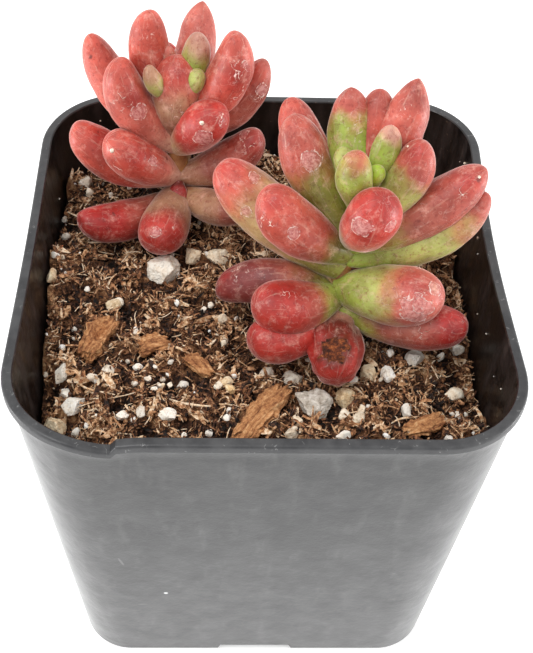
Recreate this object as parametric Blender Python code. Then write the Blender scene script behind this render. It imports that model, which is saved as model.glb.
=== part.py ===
"""Jelly bean plant: two leafy stems growing in a square nursery pot full of soil.

Metres, +Z up. The origin is the middle of the pot's base, on the surface that it stands on.
The front of the pot faces -Y.
"""

import math
import random

import bmesh
import bpy
from mathutils import Matrix, Vector, noise

MM = 0.001

# Pot
POT_HEIGHT = 66.0 * MM
BASE_HALF = 28.0 * MM
BASE_CORNER = 7.9 * MM
WALL_TOP_HALF = 31.9 * MM
WALL_TOP_CORNER = 11.2 * MM
LIP_OVERHANG = 0.6 * MM
LIP_HEIGHT = 1.5 * MM
LIP_ROUNDING = 0.4 * MM
WALL = 0.9 * MM
FLOOR_TOP = 3.0 * MM
RIGHT_SIDE_BOW = 1.0 * MM
LEFT_SIDE_BOW = 0.3 * MM
CORNER_STEPS = 7
SIDE_STEPS = 6
WALL_RINGS = 4

# Raised cross under the base, which leaves four corner feet, and the drain holes in it
CHANNEL_WIDTH = 13.5 * MM
CHANNEL_DEPTH = 1.8 * MM
CHANNEL_SLOPE = 1.2 * MM
DRAIN_RADIUS = 3.0 * MM
DRAIN_SPACING = 17.0 * MM

# Soil
CLEARANCE = 0.35 * MM
SOIL_LEVEL = 56.0 * MM
SOIL_CELLS = 34
# Rises and dips of the soil: x, y, spread and height in millimetres
SOIL_SWELLS = (
    (-31.0, 4.0, 7.0, 3.2),
    (-4.0, 27.0, 14.0, 2.0),
    (-22.0, 10.0, 6.0, -0.8),
    (2.0, -12.0, 7.0, -1.6),
    (10.0, -16.0, 6.0, -1.2),
    (-31.0, -20.0, 8.0, -4.0),
    (32.0, -12.0, 9.0, -5.5),
    (32.0, 8.0, 9.0, -4.5),
    (20.0, 28.0, 9.0, -2.0),
    (0.0, -33.0, 9.0, -2.0),
)
COARSE_GRAIN = 3.4 * MM
COARSE_RELIEF = 1.0 * MM
FINE_GRAIN = 1.5 * MM
FINE_RELIEF = 0.5 * MM

# Leaves
LEAF_SIDES = 10
LEAF_RINGS = 8
LEAF_WIDEST = 0.58
LEAF_NECK = 0.46
LEAF_THICKNESS = 0.95
TIP_FULLNESS = 2.4
GOLDEN_ANGLE = 137.508

# Points closer than this are one
WELD = 0.002 * MM

# The stems stand upright in their holes and bend above the soil: x, y and z in millimetres
LEFT_STEM = (
    (-12.5, 16.0, 44.0),
    (-12.5, 16.0, 52.0),
    (-12.5, 16.2, 60.0),
    (-12.6, 17.4, 64.0),
    (-12.4, 19.0, 69.0),
    (-12.2, 20.5, 77.0),
)
LEFT_STEM_RADIUS = 1.6 * MM
RIGHT_STEM = (
    (9.8, -7.0, 44.0),
    (9.8, -7.0, 52.0),
    (9.7, -6.6, 60.0),
    (9.8, -4.8, 64.0),
    (10.8, -2.6, 69.0),
    (13.6, 1.0, 78.0),
)
RIGHT_STEM_RADIUS = 1.35 * MM

# One row a leaf, from the crown down: height on the stem in millimetres, compass turn from +X
# and rise above level in degrees, length and width in millimetres, how far its middle sags below
# a straight leaf as a share of its length, and how pointed it is
LEFT_LEAVES = (
    (75, -151, 57, 8.0, 3.0, 0.12, 0.5),
    (75, -21, 57, 6.5, 3.2, 0.05, 0.5),
    (75, 36, 67, 10.0, 4.2, 0.08, 0.5),
    (74, 120, 66, 8.5, 3.6, 0.06, 0.5),
    (72, 72, 47, 16.5, 5.8, 0.09, 0.7),
    (71, 136, 72, 17.0, 5.9, 0.14, 0.45),
    (71, 6, 59, 17.0, 6.6, 0.14, 0.42),
    (70, 99, 26, 14.0, 5.0, 0.08, 0.6),
    (69, 88, 80, 12.5, 6.8, -0.05, 0.45),
    (69, 16, 39, 17.0, 5.6, 0.15, 0.5),
    (67.5, 154, 47, 20.0, 6.0, 0.12, 0.5),
    (67.5, 177, 61, 16.5, 6.7, 0.13, 0.42),
    (67.5, -30, 53, 12.0, 6.8, 0.0, 0.5),
    (63, 3, 31, 14.5, 6.2, 0.1, 0.4),
    (63, 179, 30, 17.0, 7.0, 0.11, 0.42),
    (63, -163, 43, 13.5, 7.0, 0.04, 0.5),
    (61, -102, 3, 13.0, 7.2, 0.05, 0.42),
    (60.5, -40, 18, 13.5, 5.4, 0.06, 0.5),
    (60, -146, 10, 16.5, 6.2, 0.12, 0.34),
)
RIGHT_LEAVES = (
    (76.5, -70, 72, 5.0, 2.6, 0.0, 0.5),
    (76, 48, 68, 9.5, 3.8, 0.07, 0.5),
    (76, 146, 45, 7.0, 3.5, 0.06, 0.5),
    (74, -157, 79, 10.0, 5.0, 0.08, 0.5),
    (73, 101, 55, 16.5, 6.2, 0.1, 0.6),
    (73, 52, 56, 19.0, 6.2, 0.09, 0.7),
    (72, 76, 54, 17.5, 5.8, 0.08, 0.5),
    (72, 15, 56, 14.5, 6.2, 0.11, 0.5),
    (70, 127, 44, 20.0, 6.2, 0.05, 0.5),
    (70, 134, 48, 18.0, 6.8, 0.08, 0.5),
    (70, -56, 66, 12.0, 7.4, 0.05, 0.5),
    (69, 10, 33, 20.5, 6.8, 0.08, 0.55),
    (68, 180, 43, 15.5, 7.6, 0.08, 0.43),
    (67.5, 8, 26, 20.5, 6.4, 0.14, 0.5),
    (66, 154, 30, 21.5, 8.0, 0.04, 0.43),
    (63.5, -25, 18, 15.0, 8.4, 0.02, 0.5),
    (62.5, 177, 0, 16.5, 6.2, -0.14, 0.4),
    (62.5, -151, 18, 13.5, 8.0, 0.07, 0.5),
    (61, -19, 7, 18.0, 7.0, 0.05, 0.42),
    (60, -147, 9, 14.0, 7.2, 0.06, 0.4),
    (60, -93, 0, 11.5, 7.6, 0.0, 0.42),
)
# Leaves on the far side of each stem follow the plant's own spiral
FAR_SIDE_TURN = 95.0
FAR_SIDE_REACH = 62.0
FAR_LEAF_LENGTH = 12.5
FAR_LEAF_WIDTH = 5.6
FAR_LEAF_HEIGHTS = (61.0, 64.0, 67.0, 70.0)
FAR_LEAF_LOWEST_RISE = 10.0
FAR_LEAF_RISE_PER_MM = 2.4
LEFT_SPIRAL_START = 40.0
RIGHT_SPIRAL_START = 60.0

# Loose pieces bedded in the soil: x, y, length, width, height in millimetres, and turn in degrees
BARK_CHIPS = (
    (-0.3, -20.2, 11.0, 3.8, 2.6, 52),
    (-22.6, -8.0, 7.6, 3.4, 3.0, 62),
    (-14.9, -9.3, 4.4, 3.0, 2.0, 20),
    (-8.9, -12.6, 4.8, 2.4, 1.8, -35),
    (21.0, -21.8, 5.6, 2.6, 1.8, 25),
)
PERLITE = (
    (-27.6, -21.0, 2.9, 2.7, 2.6, 10),
    (-25.2, -18.3, 3.2, 2.2, 2.2, 35),
    (-14.3, 4.3, 4.4, 3.6, 3.4, 15),
    (-10.1, 7.3, 2.6, 2.4, 2.2, 50),
    (-6.7, 7.5, 3.4, 2.6, 2.2, -10),
    (4.0, -13.5, 2.6, 2.2, 2.2, 0),
    (6.4, -18.2, 4.6, 3.8, 2.8, -15),
    (14.3, -12.9, 2.1, 2.3, 2.4, 30),
    (16.7, -13.7, 2.2, 1.9, 2.2, 70),
    (10.8, -17.1, 2.6, 2.4, 2.2, 45),
)
LUMP_SINK = 0.45


def clear_scene():
    """Remove whatever the new file holds."""
    for ob in list(bpy.data.objects):
        bpy.data.objects.remove(ob, do_unlink=True)


def new_collection(name):
    collection = bpy.data.collections.new(name)
    bpy.context.scene.collection.children.link(collection)
    return collection


def new_material(name, colour, roughness, metallic=0.0):
    material = bpy.data.materials.new(name)
    material.use_nodes = True
    shader = material.node_tree.nodes["Principled BSDF"]
    shader.inputs["Base Color"].default_value = (*colour, 1.0)
    shader.inputs["Roughness"].default_value = roughness
    shader.inputs["Metallic"].default_value = metallic
    return material


def new_object(name, bm, collection, material=None):
    """Turn a bmesh into a named object in a collection."""
    mesh = bpy.data.meshes.new(name)
    bm.to_mesh(mesh)
    bm.free()
    if material is not None:
        mesh.materials.append(material)
    ob = bpy.data.objects.new(name, mesh)
    collection.objects.link(ob)
    return ob


def settle(ob):
    """Apply an object's modifiers."""
    depsgraph = bpy.context.evaluated_depsgraph_get()
    mesh = bpy.data.meshes.new_from_object(ob.evaluated_get(depsgraph))
    ob.modifiers.clear()
    ob.data = mesh


def remove_all(objects):
    for ob in list(objects):
        bpy.data.objects.remove(ob, do_unlink=True)


def combine(ob, collection, operation):
    """Join a collection's objects to an object, or cut them from it, and remove them."""
    boolean = ob.modifiers.new("combine", "BOOLEAN")
    boolean.operation = operation
    boolean.operand_type = "COLLECTION"
    boolean.collection = collection
    boolean.solver = "EXACT"
    settle(ob)
    remove_all(collection.objects)


def connected_faces(bm):
    """Yield the faces of each separate body in a bmesh."""
    unseen = set(bm.faces)
    while unseen:
        body = set()
        front = [unseen.pop()]
        while front:
            face = front.pop()
            body.add(face)
            for edge in face.edges:
                for other in edge.link_faces:
                    if other in unseen:
                        unseen.discard(other)
                        front.append(other)
        yield body


def keep_main_body(ob):
    """Fill the hollows that joining sealed and drop loose scraps: only the largest skin stays."""
    bm = bmesh.new()
    bm.from_mesh(ob.data)
    bodies = sorted(connected_faces(bm), key=len)
    for body in bodies[:-1]:
        bmesh.ops.delete(bm, geom=list(body), context="FACES")
    loose = [vert for vert in bm.verts if not vert.link_faces]
    bmesh.ops.delete(bm, geom=loose, context="VERTS")
    bmesh.ops.dissolve_degenerate(bm, dist=WELD, edges=bm.edges[:])
    bmesh.ops.triangulate(bm, faces=bm.faces[:])
    bm.to_mesh(ob.data)
    bm.free()


def smooth_step(value):
    value = min(max(value, 0.0), 1.0)
    return value * value * (3.0 - 2.0 * value)


def wall_half(z):
    """Half the pot's outer width below the lip."""
    return BASE_HALF + (WALL_TOP_HALF - BASE_HALF) * z / (POT_HEIGHT - LIP_HEIGHT)


def wall_corner(z):
    """The radius of the pot's outer corners below the lip."""
    return BASE_CORNER + (WALL_TOP_CORNER - BASE_CORNER) * z / (POT_HEIGHT - LIP_HEIGHT)


def bowed(point):
    """Press the middles of the pot's left and right sides in a little, more towards the rim."""
    x, y, z = point
    half = wall_half(z)
    depth = RIGHT_SIDE_BOW if x > 0 else -LEFT_SIDE_BOW
    near_side = smooth_step(2.0 * abs(x) / half - 1.0)
    along_side = math.cos(0.5 * math.pi * min(abs(y) / half, 1.0)) ** 2
    return Vector((x - depth * near_side * along_side * (z / POT_HEIGHT) ** 2, y, z))


def rounded_square(half, corner, z):
    """Points of a level square outline with round corners, anticlockwise from the right side."""
    points = []
    flat = half - corner
    for side in range(4):
        turn = Matrix.Rotation(0.5 * math.pi * side, 3, "Z")
        for step in range(SIDE_STEPS + 1):
            across = flat * (2.0 * step / SIDE_STEPS - 1.0)
            points.append(turn @ Vector((half, across, z)))
        for step in range(1, CORNER_STEPS):
            angle = 0.5 * math.pi * step / CORNER_STEPS
            x = flat + corner * math.cos(angle)
            y = flat + corner * math.sin(angle)
            points.append(turn @ Vector((x, y, z)))
    return [bowed(point) for point in points]


def loft(rings):
    """A closed body through a row of like rings, capped at both ends."""
    bm = bmesh.new()
    rows = [[bm.verts.new(point) for point in ring] for ring in rings]
    count = len(rows[0])
    for below, above in zip(rows, rows[1:]):
        for i in range(count):
            j = (i + 1) % count
            bm.faces.new((below[i], below[j], above[j], above[i]))
    bm.faces.new(list(reversed(rows[0])))
    bm.faces.new(rows[-1])
    bmesh.ops.recalc_face_normals(bm, faces=bm.faces[:])
    return bm


def pot_rings():
    """Rings from the middle of the underside, up the outside, over the lip and down inside."""
    rings = []
    lip_base = POT_HEIGHT - LIP_HEIGHT
    lip_half = WALL_TOP_HALF + LIP_OVERHANG
    lip_corner = WALL_TOP_CORNER + LIP_OVERHANG
    for step in range(WALL_RINGS + 1):
        z = lip_base * step / WALL_RINGS
        rings.append(rounded_square(wall_half(z), wall_corner(z), z))
    rings.append(rounded_square(lip_half, lip_corner, lip_base))
    rings.append(rounded_square(lip_half, lip_corner, POT_HEIGHT - LIP_ROUNDING))
    rings.append(
        rounded_square(lip_half - LIP_ROUNDING, lip_corner - LIP_ROUNDING, POT_HEIGHT)
    )
    for step in range(WALL_RINGS, -1, -1):
        z = FLOOR_TOP + (POT_HEIGHT - FLOOR_TOP) * step / WALL_RINGS
        rings.append(rounded_square(wall_half(z) - WALL, wall_corner(z) - WALL, z))
    return rings


def channel_cutter(collection, turn):
    """A bar with sloped sides that cuts one arm of the cross under the base."""
    bm = bmesh.new()
    bmesh.ops.create_cube(bm, size=1.0)
    for vert in bm.verts:
        slope = CHANNEL_SLOPE if vert.co.z > 0 else 0.0
        vert.co.x *= 3.0 * BASE_HALF
        vert.co.y *= CHANNEL_WIDTH - 2.0 * slope
        vert.co.z = CHANNEL_DEPTH if vert.co.z > 0 else -CHANNEL_DEPTH
    ob = new_object("channel_cutter", bm, collection)
    ob.rotation_euler.z = turn


def drain_cutter(collection, x, y):
    bm = bmesh.new()
    bmesh.ops.create_cone(
        bm,
        cap_ends=True,
        segments=16,
        radius1=DRAIN_RADIUS,
        radius2=DRAIN_RADIUS,
        depth=4.0 * FLOOR_TOP,
    )
    ob = new_object("drain_cutter", bm, collection)
    ob.location = (x, y, 0.0)


def make_pot(collection, cutters):
    colour = new_material("pot grey", (0.19, 0.19, 0.20), 0.55)
    pot = new_object("pot", loft(pot_rings()), collection, colour)
    channel_cutter(cutters, 0.0)
    channel_cutter(cutters, 0.5 * math.pi)
    drain_cutter(cutters, 0.0, 0.0)
    for arm in range(4):
        angle = 0.5 * math.pi * arm
        drain_cutter(cutters, DRAIN_SPACING * math.cos(angle), DRAIN_SPACING * math.sin(angle))
    combine(pot, cutters, "DIFFERENCE")
    keep_main_body(pot)
    return pot


def reach(angle, half, corner):
    """How far a rounded square's edge lies from its middle in a direction."""
    cosine = abs(math.cos(angle))
    sine = abs(math.sin(angle))
    flat = half - corner
    if min(cosine, sine) * half <= flat * max(cosine, sine):
        return half / max(cosine, sine)
    towards = flat * (cosine + sine)
    return towards + math.sqrt(towards**2 - 2.0 * flat**2 + corner**2)


def soil_height(x, y):
    """The soil's surface: a level with swells and dips, and a crumbly relief."""
    z = SOIL_LEVEL
    for swell_x, swell_y, spread, height in SOIL_SWELLS:
        distance = math.hypot(x - swell_x * MM, y - swell_y * MM) / (spread * MM)
        z += height * MM * math.exp(-(distance**2))
    z += COARSE_RELIEF * noise.noise(Vector((x, y, 0.0)) / COARSE_GRAIN)
    z += FINE_RELIEF * noise.noise(Vector((x, y, 1.0)) / FINE_GRAIN)
    return z


def soil_point(u, v, z):
    """Where a point of a square from -1 to 1 lies on the soil's level section at a height."""
    inset = WALL + CLEARANCE
    angle = math.atan2(v, u)
    share = reach(angle, wall_half(z) - inset, wall_corner(z) - inset)
    stretch = share * max(abs(math.cos(angle)), abs(math.sin(angle)))
    return bowed((u * stretch, v * stretch, z))


def make_soil(collection, cutters):
    bm = bmesh.new()
    bmesh.ops.create_grid(bm, x_segments=SOIL_CELLS, y_segments=SOIL_CELLS, size=1.0)
    rim = [edge for edge in bm.edges if edge.is_boundary]
    skirt = bmesh.ops.extrude_edge_only(bm, edges=rim)["geom"]
    lower = {item for item in skirt if isinstance(item, bmesh.types.BMVert)}
    bmesh.ops.contextual_create(
        bm, geom=[item for item in skirt if isinstance(item, bmesh.types.BMEdge)]
    )
    for vert in bm.verts:
        u, v = vert.co.x, vert.co.y
        if vert in lower:
            vert.co = soil_point(u, v, FLOOR_TOP + CLEARANCE)
        else:
            level = soil_point(u, v, SOIL_LEVEL)
            vert.co = soil_point(u, v, soil_height(level.x, level.y))
    bmesh.ops.recalc_face_normals(bm, faces=bm.faces[:])
    bmesh.ops.triangulate(bm, faces=bm.faces[:])
    colour = new_material("soil brown", (0.10, 0.055, 0.03), 0.95)
    soil = new_object("soil", bm, collection, colour)
    combine(soil, cutters, "DIFFERENCE")
    keep_main_body(soil)
    return soil


def stem_hole_cutter(collection, stem, radius):
    """A plain round hole round the buried part of a stem."""
    foot = Vector(stem[0]) * MM
    top = Vector(stem[2]) * MM
    depth = top.z - foot.z + 2.0 * CLEARANCE
    bm = bmesh.new()
    bmesh.ops.create_cone(
        bm,
        cap_ends=True,
        segments=16,
        radius1=radius + 1.5 * CLEARANCE,
        radius2=radius + 1.5 * CLEARANCE,
        depth=depth,
    )
    ob = new_object("stem_hole_cutter", bm, collection)
    ob.location = (foot.x, foot.y, foot.z - CLEARANCE + 0.5 * depth)


def grow(bm, gap):
    """Move a closed body's skin out evenly."""
    bm.normal_update()
    moves = [(vert, vert.normal * vert.calc_shell_factor() * gap) for vert in bm.verts]
    for vert, move in moves:
        vert.co += move


def perlite_shape(row, seed):
    """A lump of expanded rock: a low sphere with its points pushed in and out."""
    length, width, height = (value * MM for value in row[2:5])
    rng = random.Random(seed)
    bm = bmesh.new()
    bmesh.ops.create_icosphere(bm, subdivisions=2, radius=0.5)
    for vert in bm.verts:
        vert.co *= rng.uniform(0.86, 1.1)
        vert.co.x *= length
        vert.co.y *= width
        vert.co.z *= height
    return bm


def bark_shape(row, seed):
    """A flake of bark: a thin block, narrowed to its ends, arched and with ragged edges."""
    length, width, height = (value * MM for value in row[2:5])
    rng = random.Random(seed)
    bm = bmesh.new()
    bmesh.ops.create_cube(bm, size=1.0)
    long_edges = [edge for edge in bm.edges if abs(edge.verts[0].co.x - edge.verts[1].co.x) > 0.5]
    bmesh.ops.subdivide_edges(bm, edges=long_edges, cuts=5, use_grid_fill=True)
    for vert in bm.verts:
        along = 2.0 * vert.co.x
        narrowing = 1.0 - 0.45 * along**2
        vert.co.x *= length * rng.uniform(0.94, 1.0)
        vert.co.y *= width * narrowing * rng.uniform(0.8, 1.0)
        vert.co.z = height * (vert.co.z * (0.55 if vert.co.z > 0 else 0.75) + 0.2 * (1.0 - along**2))
    return bm


def make_lumps(collection, cutters, kind, rows, shape, colour):
    """Bed each loose piece in the soil, with a pocket round it."""
    for index, row in enumerate(rows):
        x, y = row[0] * MM, row[1] * MM
        sunk = soil_height(x, y) + (0.5 - LUMP_SINK) * row[4] * MM
        place = Matrix.Translation((x, y, sunk)) @ Matrix.Rotation(math.radians(row[5]), 4, "Z")
        name = f"{kind}_{index + 1:02d}"
        piece = new_object(name, shape(row, index), collection, colour)
        piece.matrix_world = place
        pocket = shape(row, index)
        grow(pocket, CLEARANCE)
        cutter = new_object(f"{name}_pocket", pocket, cutters)
        cutter.matrix_world = place


def leaf_profile(along, pointed):
    """A leaf's radius along its length, as a share of the widest: narrow neck, blunt tip."""
    if along < LEAF_WIDEST:
        return LEAF_NECK + (1.0 - LEAF_NECK) * math.sin(0.5 * math.pi * along / LEAF_WIDEST)
    beyond = (along - LEAF_WIDEST) / (1.0 - LEAF_WIDEST)
    return max(1.0 - beyond**TIP_FULLNESS, 0.0) ** pointed


def leaf_shape(base, turn, rise, length, width, sag, pointed):
    """A fleshy leaf: a sphere drawn out from its base along a line that curves up a little."""
    turn, rise = math.radians(turn), math.radians(rise)
    ahead = Vector(
        (math.cos(turn) * math.cos(rise), math.sin(turn) * math.cos(rise), math.sin(rise))
    )
    side = Vector((math.sin(turn), -math.cos(turn), 0.0))
    above = side.cross(ahead)
    bm = bmesh.new()
    bmesh.ops.create_uvsphere(bm, u_segments=LEAF_SIDES, v_segments=LEAF_RINGS, radius=1.0)
    for vert in bm.verts:
        along = 0.5 * (1.0 + vert.co.z)
        around = math.atan2(vert.co.y, vert.co.x)
        at_pole = math.hypot(vert.co.x, vert.co.y) < 0.01
        radius = 0.0 if at_pole else 0.5 * width * leaf_profile(along, pointed)
        drop = 4.0 * sag * length * along * (1.0 - along)
        vert.co = (
            base
            + ahead * (length * along)
            + side * (radius * math.cos(around))
            + above * (LEAF_THICKNESS * radius * math.sin(around) - drop)
        )
    bmesh.ops.recalc_face_normals(bm, faces=bm.faces[:])
    return bm


def stem_point(stem, height):
    """The middle of a stem at a height in millimetres."""
    for low, high in zip(stem, stem[1:]):
        if height <= high[2]:
            share = (height - low[2]) / (high[2] - low[2])
            return Vector(low).lerp(Vector(high), share) * MM
    return Vector(stem[-1]) * MM


def far_side_leaves(start):
    """Leaves of the stem's spiral that grow on its far side."""
    rows = []
    turn = start
    for height in FAR_LEAF_HEIGHTS:
        while abs((turn - FAR_SIDE_TURN + 180.0) % 360.0 - 180.0) > FAR_SIDE_REACH:
            turn += GOLDEN_ANGLE
        rise = FAR_LEAF_LOWEST_RISE + FAR_LEAF_RISE_PER_MM * (height - FAR_LEAF_HEIGHTS[0])
        rows.append((height, turn, rise, FAR_LEAF_LENGTH, FAR_LEAF_WIDTH, 0.06, 0.5))
        turn += GOLDEN_ANGLE
    return rows


def stem_mesh(name, stem, radius, collection, material):
    """The bare stem, as a tube through its points."""
    curve = bpy.data.curves.new(name, "CURVE")
    curve.dimensions = "3D"
    curve.bevel_depth = radius
    curve.bevel_resolution = 2
    curve.use_fill_caps = True
    spline = curve.splines.new("POLY")
    spline.points.add(len(stem) - 1)
    for point, place in zip(spline.points, stem):
        point.co = (*(Vector(place) * MM), 1.0)
    tube = bpy.data.objects.new(name, curve)
    collection.objects.link(tube)
    depsgraph = bpy.context.evaluated_depsgraph_get()
    mesh = bpy.data.meshes.new_from_object(tube.evaluated_get(depsgraph))
    bpy.data.objects.remove(tube, do_unlink=True)
    bm = bmesh.new()
    bm.from_mesh(mesh)
    bmesh.ops.remove_doubles(bm, verts=bm.verts[:], dist=WELD)
    bmesh.ops.recalc_face_normals(bm, faces=bm.faces[:])
    return new_object(name, bm, collection, material)


def make_plant(name, stem, radius, leaves, collection, joining, colour):
    """A stem with its leaves, joined as one body."""
    plant = stem_mesh(name, stem, radius, collection, colour)
    for index, (height, turn, rise, length, width, sag, pointed) in enumerate(leaves):
        base = stem_point(stem, height)
        shape = leaf_shape(base, turn, rise, length * MM, width * MM, sag, pointed)
        new_object(f"{name}_leaf_{index + 1:02d}", shape, joining)
    combine(plant, joining, "UNION")
    keep_main_body(plant)
    return plant


def main():
    clear_scene()
    parts = new_collection("jelly bean plant")
    cutters = new_collection("cutters")
    joining = new_collection("leaves to join")
    make_pot(parts, cutters)
    left = list(LEFT_LEAVES) + far_side_leaves(LEFT_SPIRAL_START)
    right = list(RIGHT_LEAVES) + far_side_leaves(RIGHT_SPIRAL_START)
    pink = new_material("pink leaf", (0.62, 0.17, 0.14), 0.45)
    green = new_material("green and pink leaf", (0.45, 0.32, 0.16), 0.45)
    make_plant("left_plant", LEFT_STEM, LEFT_STEM_RADIUS, left, parts, joining, pink)
    make_plant("right_plant", RIGHT_STEM, RIGHT_STEM_RADIUS, right, parts, joining, green)
    bark = new_material("bark tan", (0.33, 0.17, 0.08), 0.9)
    white = new_material("perlite cream", (0.75, 0.70, 0.60), 0.9)
    make_lumps(parts, cutters, "bark_chip", BARK_CHIPS, bark_shape, bark)
    make_lumps(parts, cutters, "perlite", PERLITE, perlite_shape, white)
    stem_hole_cutter(cutters, LEFT_STEM, LEFT_STEM_RADIUS)
    stem_hole_cutter(cutters, RIGHT_STEM, RIGHT_STEM_RADIUS)
    make_soil(parts, cutters)
    for ob in parts.objects:
        ob.data.shade_smooth()
        ob.data.set_sharp_from_angle(angle=math.radians(40.0))


main()
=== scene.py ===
"""Looks of a jelly bean plant: two leafy stems in a square grey nursery pot full of coarse soil.

Metres, +Z up. The origin is the middle of the pot's base, and the front of the pot faces -Y.
Colours are written as they show on a screen, from 0 to 255.
"""

import math
import random

import bmesh
import bpy
from mathutils import Matrix, Vector, noise


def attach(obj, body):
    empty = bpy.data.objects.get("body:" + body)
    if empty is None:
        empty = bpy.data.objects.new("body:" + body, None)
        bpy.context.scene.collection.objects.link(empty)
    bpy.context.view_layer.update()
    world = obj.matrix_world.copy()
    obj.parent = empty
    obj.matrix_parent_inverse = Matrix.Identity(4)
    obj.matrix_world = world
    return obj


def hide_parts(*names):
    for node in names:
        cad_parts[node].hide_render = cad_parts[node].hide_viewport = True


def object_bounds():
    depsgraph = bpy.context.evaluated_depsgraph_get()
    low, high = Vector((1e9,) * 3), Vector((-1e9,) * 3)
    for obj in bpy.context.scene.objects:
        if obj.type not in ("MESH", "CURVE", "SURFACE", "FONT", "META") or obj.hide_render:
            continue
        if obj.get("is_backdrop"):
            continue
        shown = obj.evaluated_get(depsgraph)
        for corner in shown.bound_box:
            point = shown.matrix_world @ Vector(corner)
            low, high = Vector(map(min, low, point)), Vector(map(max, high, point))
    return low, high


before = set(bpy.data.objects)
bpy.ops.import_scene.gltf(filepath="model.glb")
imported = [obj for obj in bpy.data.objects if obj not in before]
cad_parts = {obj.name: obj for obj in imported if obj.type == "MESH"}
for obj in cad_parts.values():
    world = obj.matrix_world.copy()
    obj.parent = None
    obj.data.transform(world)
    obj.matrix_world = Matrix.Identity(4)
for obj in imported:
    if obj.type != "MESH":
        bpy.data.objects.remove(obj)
cad_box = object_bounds()

MM = 0.001

# Camera: place in millimetres and turns in degrees
CAMERA_AT = (-4.8, -103.0, 171.3)
CAMERA_YAW = 3.1
CAMERA_PITCH = 49.8
CAMERA_ROLL = 3.0
CAMERA_FOCUS_PIXELS = 1088.0
PHOTO_HEIGHT_PIXELS = 653.0
SENSOR = 36.0

# Light: each lamp's name, place and size in metres, and power in watts
WHITE = (1.0, 1.0, 1.0, 1.0)
LIGHTS = (
    ("key", (-0.22, -0.12, 0.62), 0.34, 1.75),
    ("left_side", (-0.4, -0.06, 0.02), 0.14, 1.3),
    ("right_side", (0.4, -0.06, 0.02), 0.14, 1.3),
    ("fill", (0.45, -0.08, 0.45), 0.4, 0.6),
)
LIT_SPOT = (0.0, 0.0, 0.06)
WORLD_STRENGTH = 0.95
FLOOR_HALF = 1.5
FLOOR_GLOW = 0.3

# Pot, as in the CAD model
POT_HEIGHT = 66.0 * MM
BASE_HALF = 28.0 * MM
BASE_CORNER = 7.9 * MM
WALL_TOP_HALF = 31.9 * MM
WALL_TOP_CORNER = 11.2 * MM
LIP_OVERHANG = 0.6 * MM
LIP_HEIGHT = 1.5 * MM
LIP_ROUNDING = 0.4 * MM
WALL = 0.9 * MM
FLOOR_TOP = 3.0 * MM
RIGHT_SIDE_BOW = 1.0 * MM
LEFT_SIDE_BOW = 0.3 * MM
CHANNEL_WIDTH = 13.5 * MM
CHANNEL_DEPTH = 1.8 * MM
CHANNEL_SLOPE = 1.2 * MM
DRAIN_RADIUS = 3.0 * MM
DRAIN_SPACING = 17.0 * MM
# The visual pot: finer steps, small roundings and the slot of each surface
CORNER_STEPS = 20
SIDE_STEPS = 56
WALL_RINGS = 26
LIP_ARC_STEPS = 4
DRAIN_SIDES = 40
FOOT = 0.5 * MM
LIP_SOFTNESS = 0.15 * MM
OUTSIDE, LIP, INSIDE = range(3)
POT_SHARP_DEGREES = 38.0
# The kink in the front of the lip
KINK_X = -18.4 * MM
KINK_DROP = 1.5 * MM
KINK_REACH = 4.2 * MM
# Marks on the front of the pot: x and z, half width and half height in millimetres, tilt in
# degrees, and grey level
POT_MARKS = (
    (-13.6, 22.8, 0.35, 0.3, 0, 235),
    (-25.4, 27.0, 1.9, 0.14, -52, 60),
    (-27.4, 52.8, 0.12, 0.6, 0, 30),
    (-27.4, 52.8, 0.5, 0.12, 0, 30),
    (2.2, 21.9, 0.22, 0.2, 0, 45),
    (19.3, 29.9, 0.3, 0.22, 20, 78),
    (-17.2, 18.6, 0.9, 0.16, 10, 86),
    (-19.4, 33.6, 0.2, 1.3, 15, 92),
    (11.0, 0.6, 0.3, 0.7, 0, 40),
    (19.8, 0.6, 0.3, 0.8, 0, 30),
)

# Soil, as in the CAD model
CLEARANCE = 0.35 * MM
SOIL_LEVEL = 56.0 * MM
SOIL_SWELLS = (
    (-31.0, 4.0, 7.0, 3.2),
    (-4.0, 27.0, 14.0, 2.0),
    (-22.0, 10.0, 6.0, -0.8),
    (2.0, -12.0, 7.0, -1.6),
    (10.0, -16.0, 6.0, -1.2),
    (-31.0, -20.0, 8.0, -4.0),
    (32.0, -12.0, 9.0, -5.5),
    (32.0, 8.0, 9.0, -4.5),
    (20.0, 28.0, 9.0, -2.0),
    (0.0, -33.0, 9.0, -2.0),
)
COARSE_GRAIN = 3.4 * MM
COARSE_RELIEF = 1.0 * MM
FINE_GRAIN = 1.5 * MM
FINE_RELIEF = 0.5 * MM
# The visual soil: a dark bed under loose coir, which keeps off the wall and the lumps by a gap
SOIL_CELLS = 210
BED_DEPTH = 0.9 * MM
CLUMP_SIZE = 3.4 * MM
CLUMP_RELIEF = 1.1 * MM
GRIT_SIZE = 0.8 * MM
GRIT_RELIEF = 0.4 * MM
WALL_GAP = 0.1 * MM
LUMP_GAP = 0.2 * MM
FLAKE_COUNT = 3600
SHRED_COUNT = 7000
FIBRE_COUNT = 1300
CRUMB_COUNT = 1350
GRIT_COUNT = 150
WALL_GRIT_COUNT = 14
SOIL_EDGE = 0.985
FLAKE_SECTIONS = 5
FLAKE_THICKNESS = 0.16 * MM
SHRED_SECTIONS = 4
FIBRE_SECTIONS = 7
LONG_FIBRE_SHARE = 0.06
CHIP_CUTS = 23
GRIT_STRETCH = (1.2, 0.9, 0.8)
GRAIN_FACETS = 13
GRAIN_HALF = 0.58
GRAIN_SHARP_DEGREES = 34.0
COIR_SHARP_DEGREES = 50.0
CRUMB_SHARP_DEGREES = 40.0
# How far the loose pieces may lean, in degrees
FLAKE_TILT = 58.0
SHRED_TILT = 60.0
FIBRE_TILT = 38.0
LONG_FIBRE_TILT = 14.0
ANY_TILT = 180.0
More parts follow.
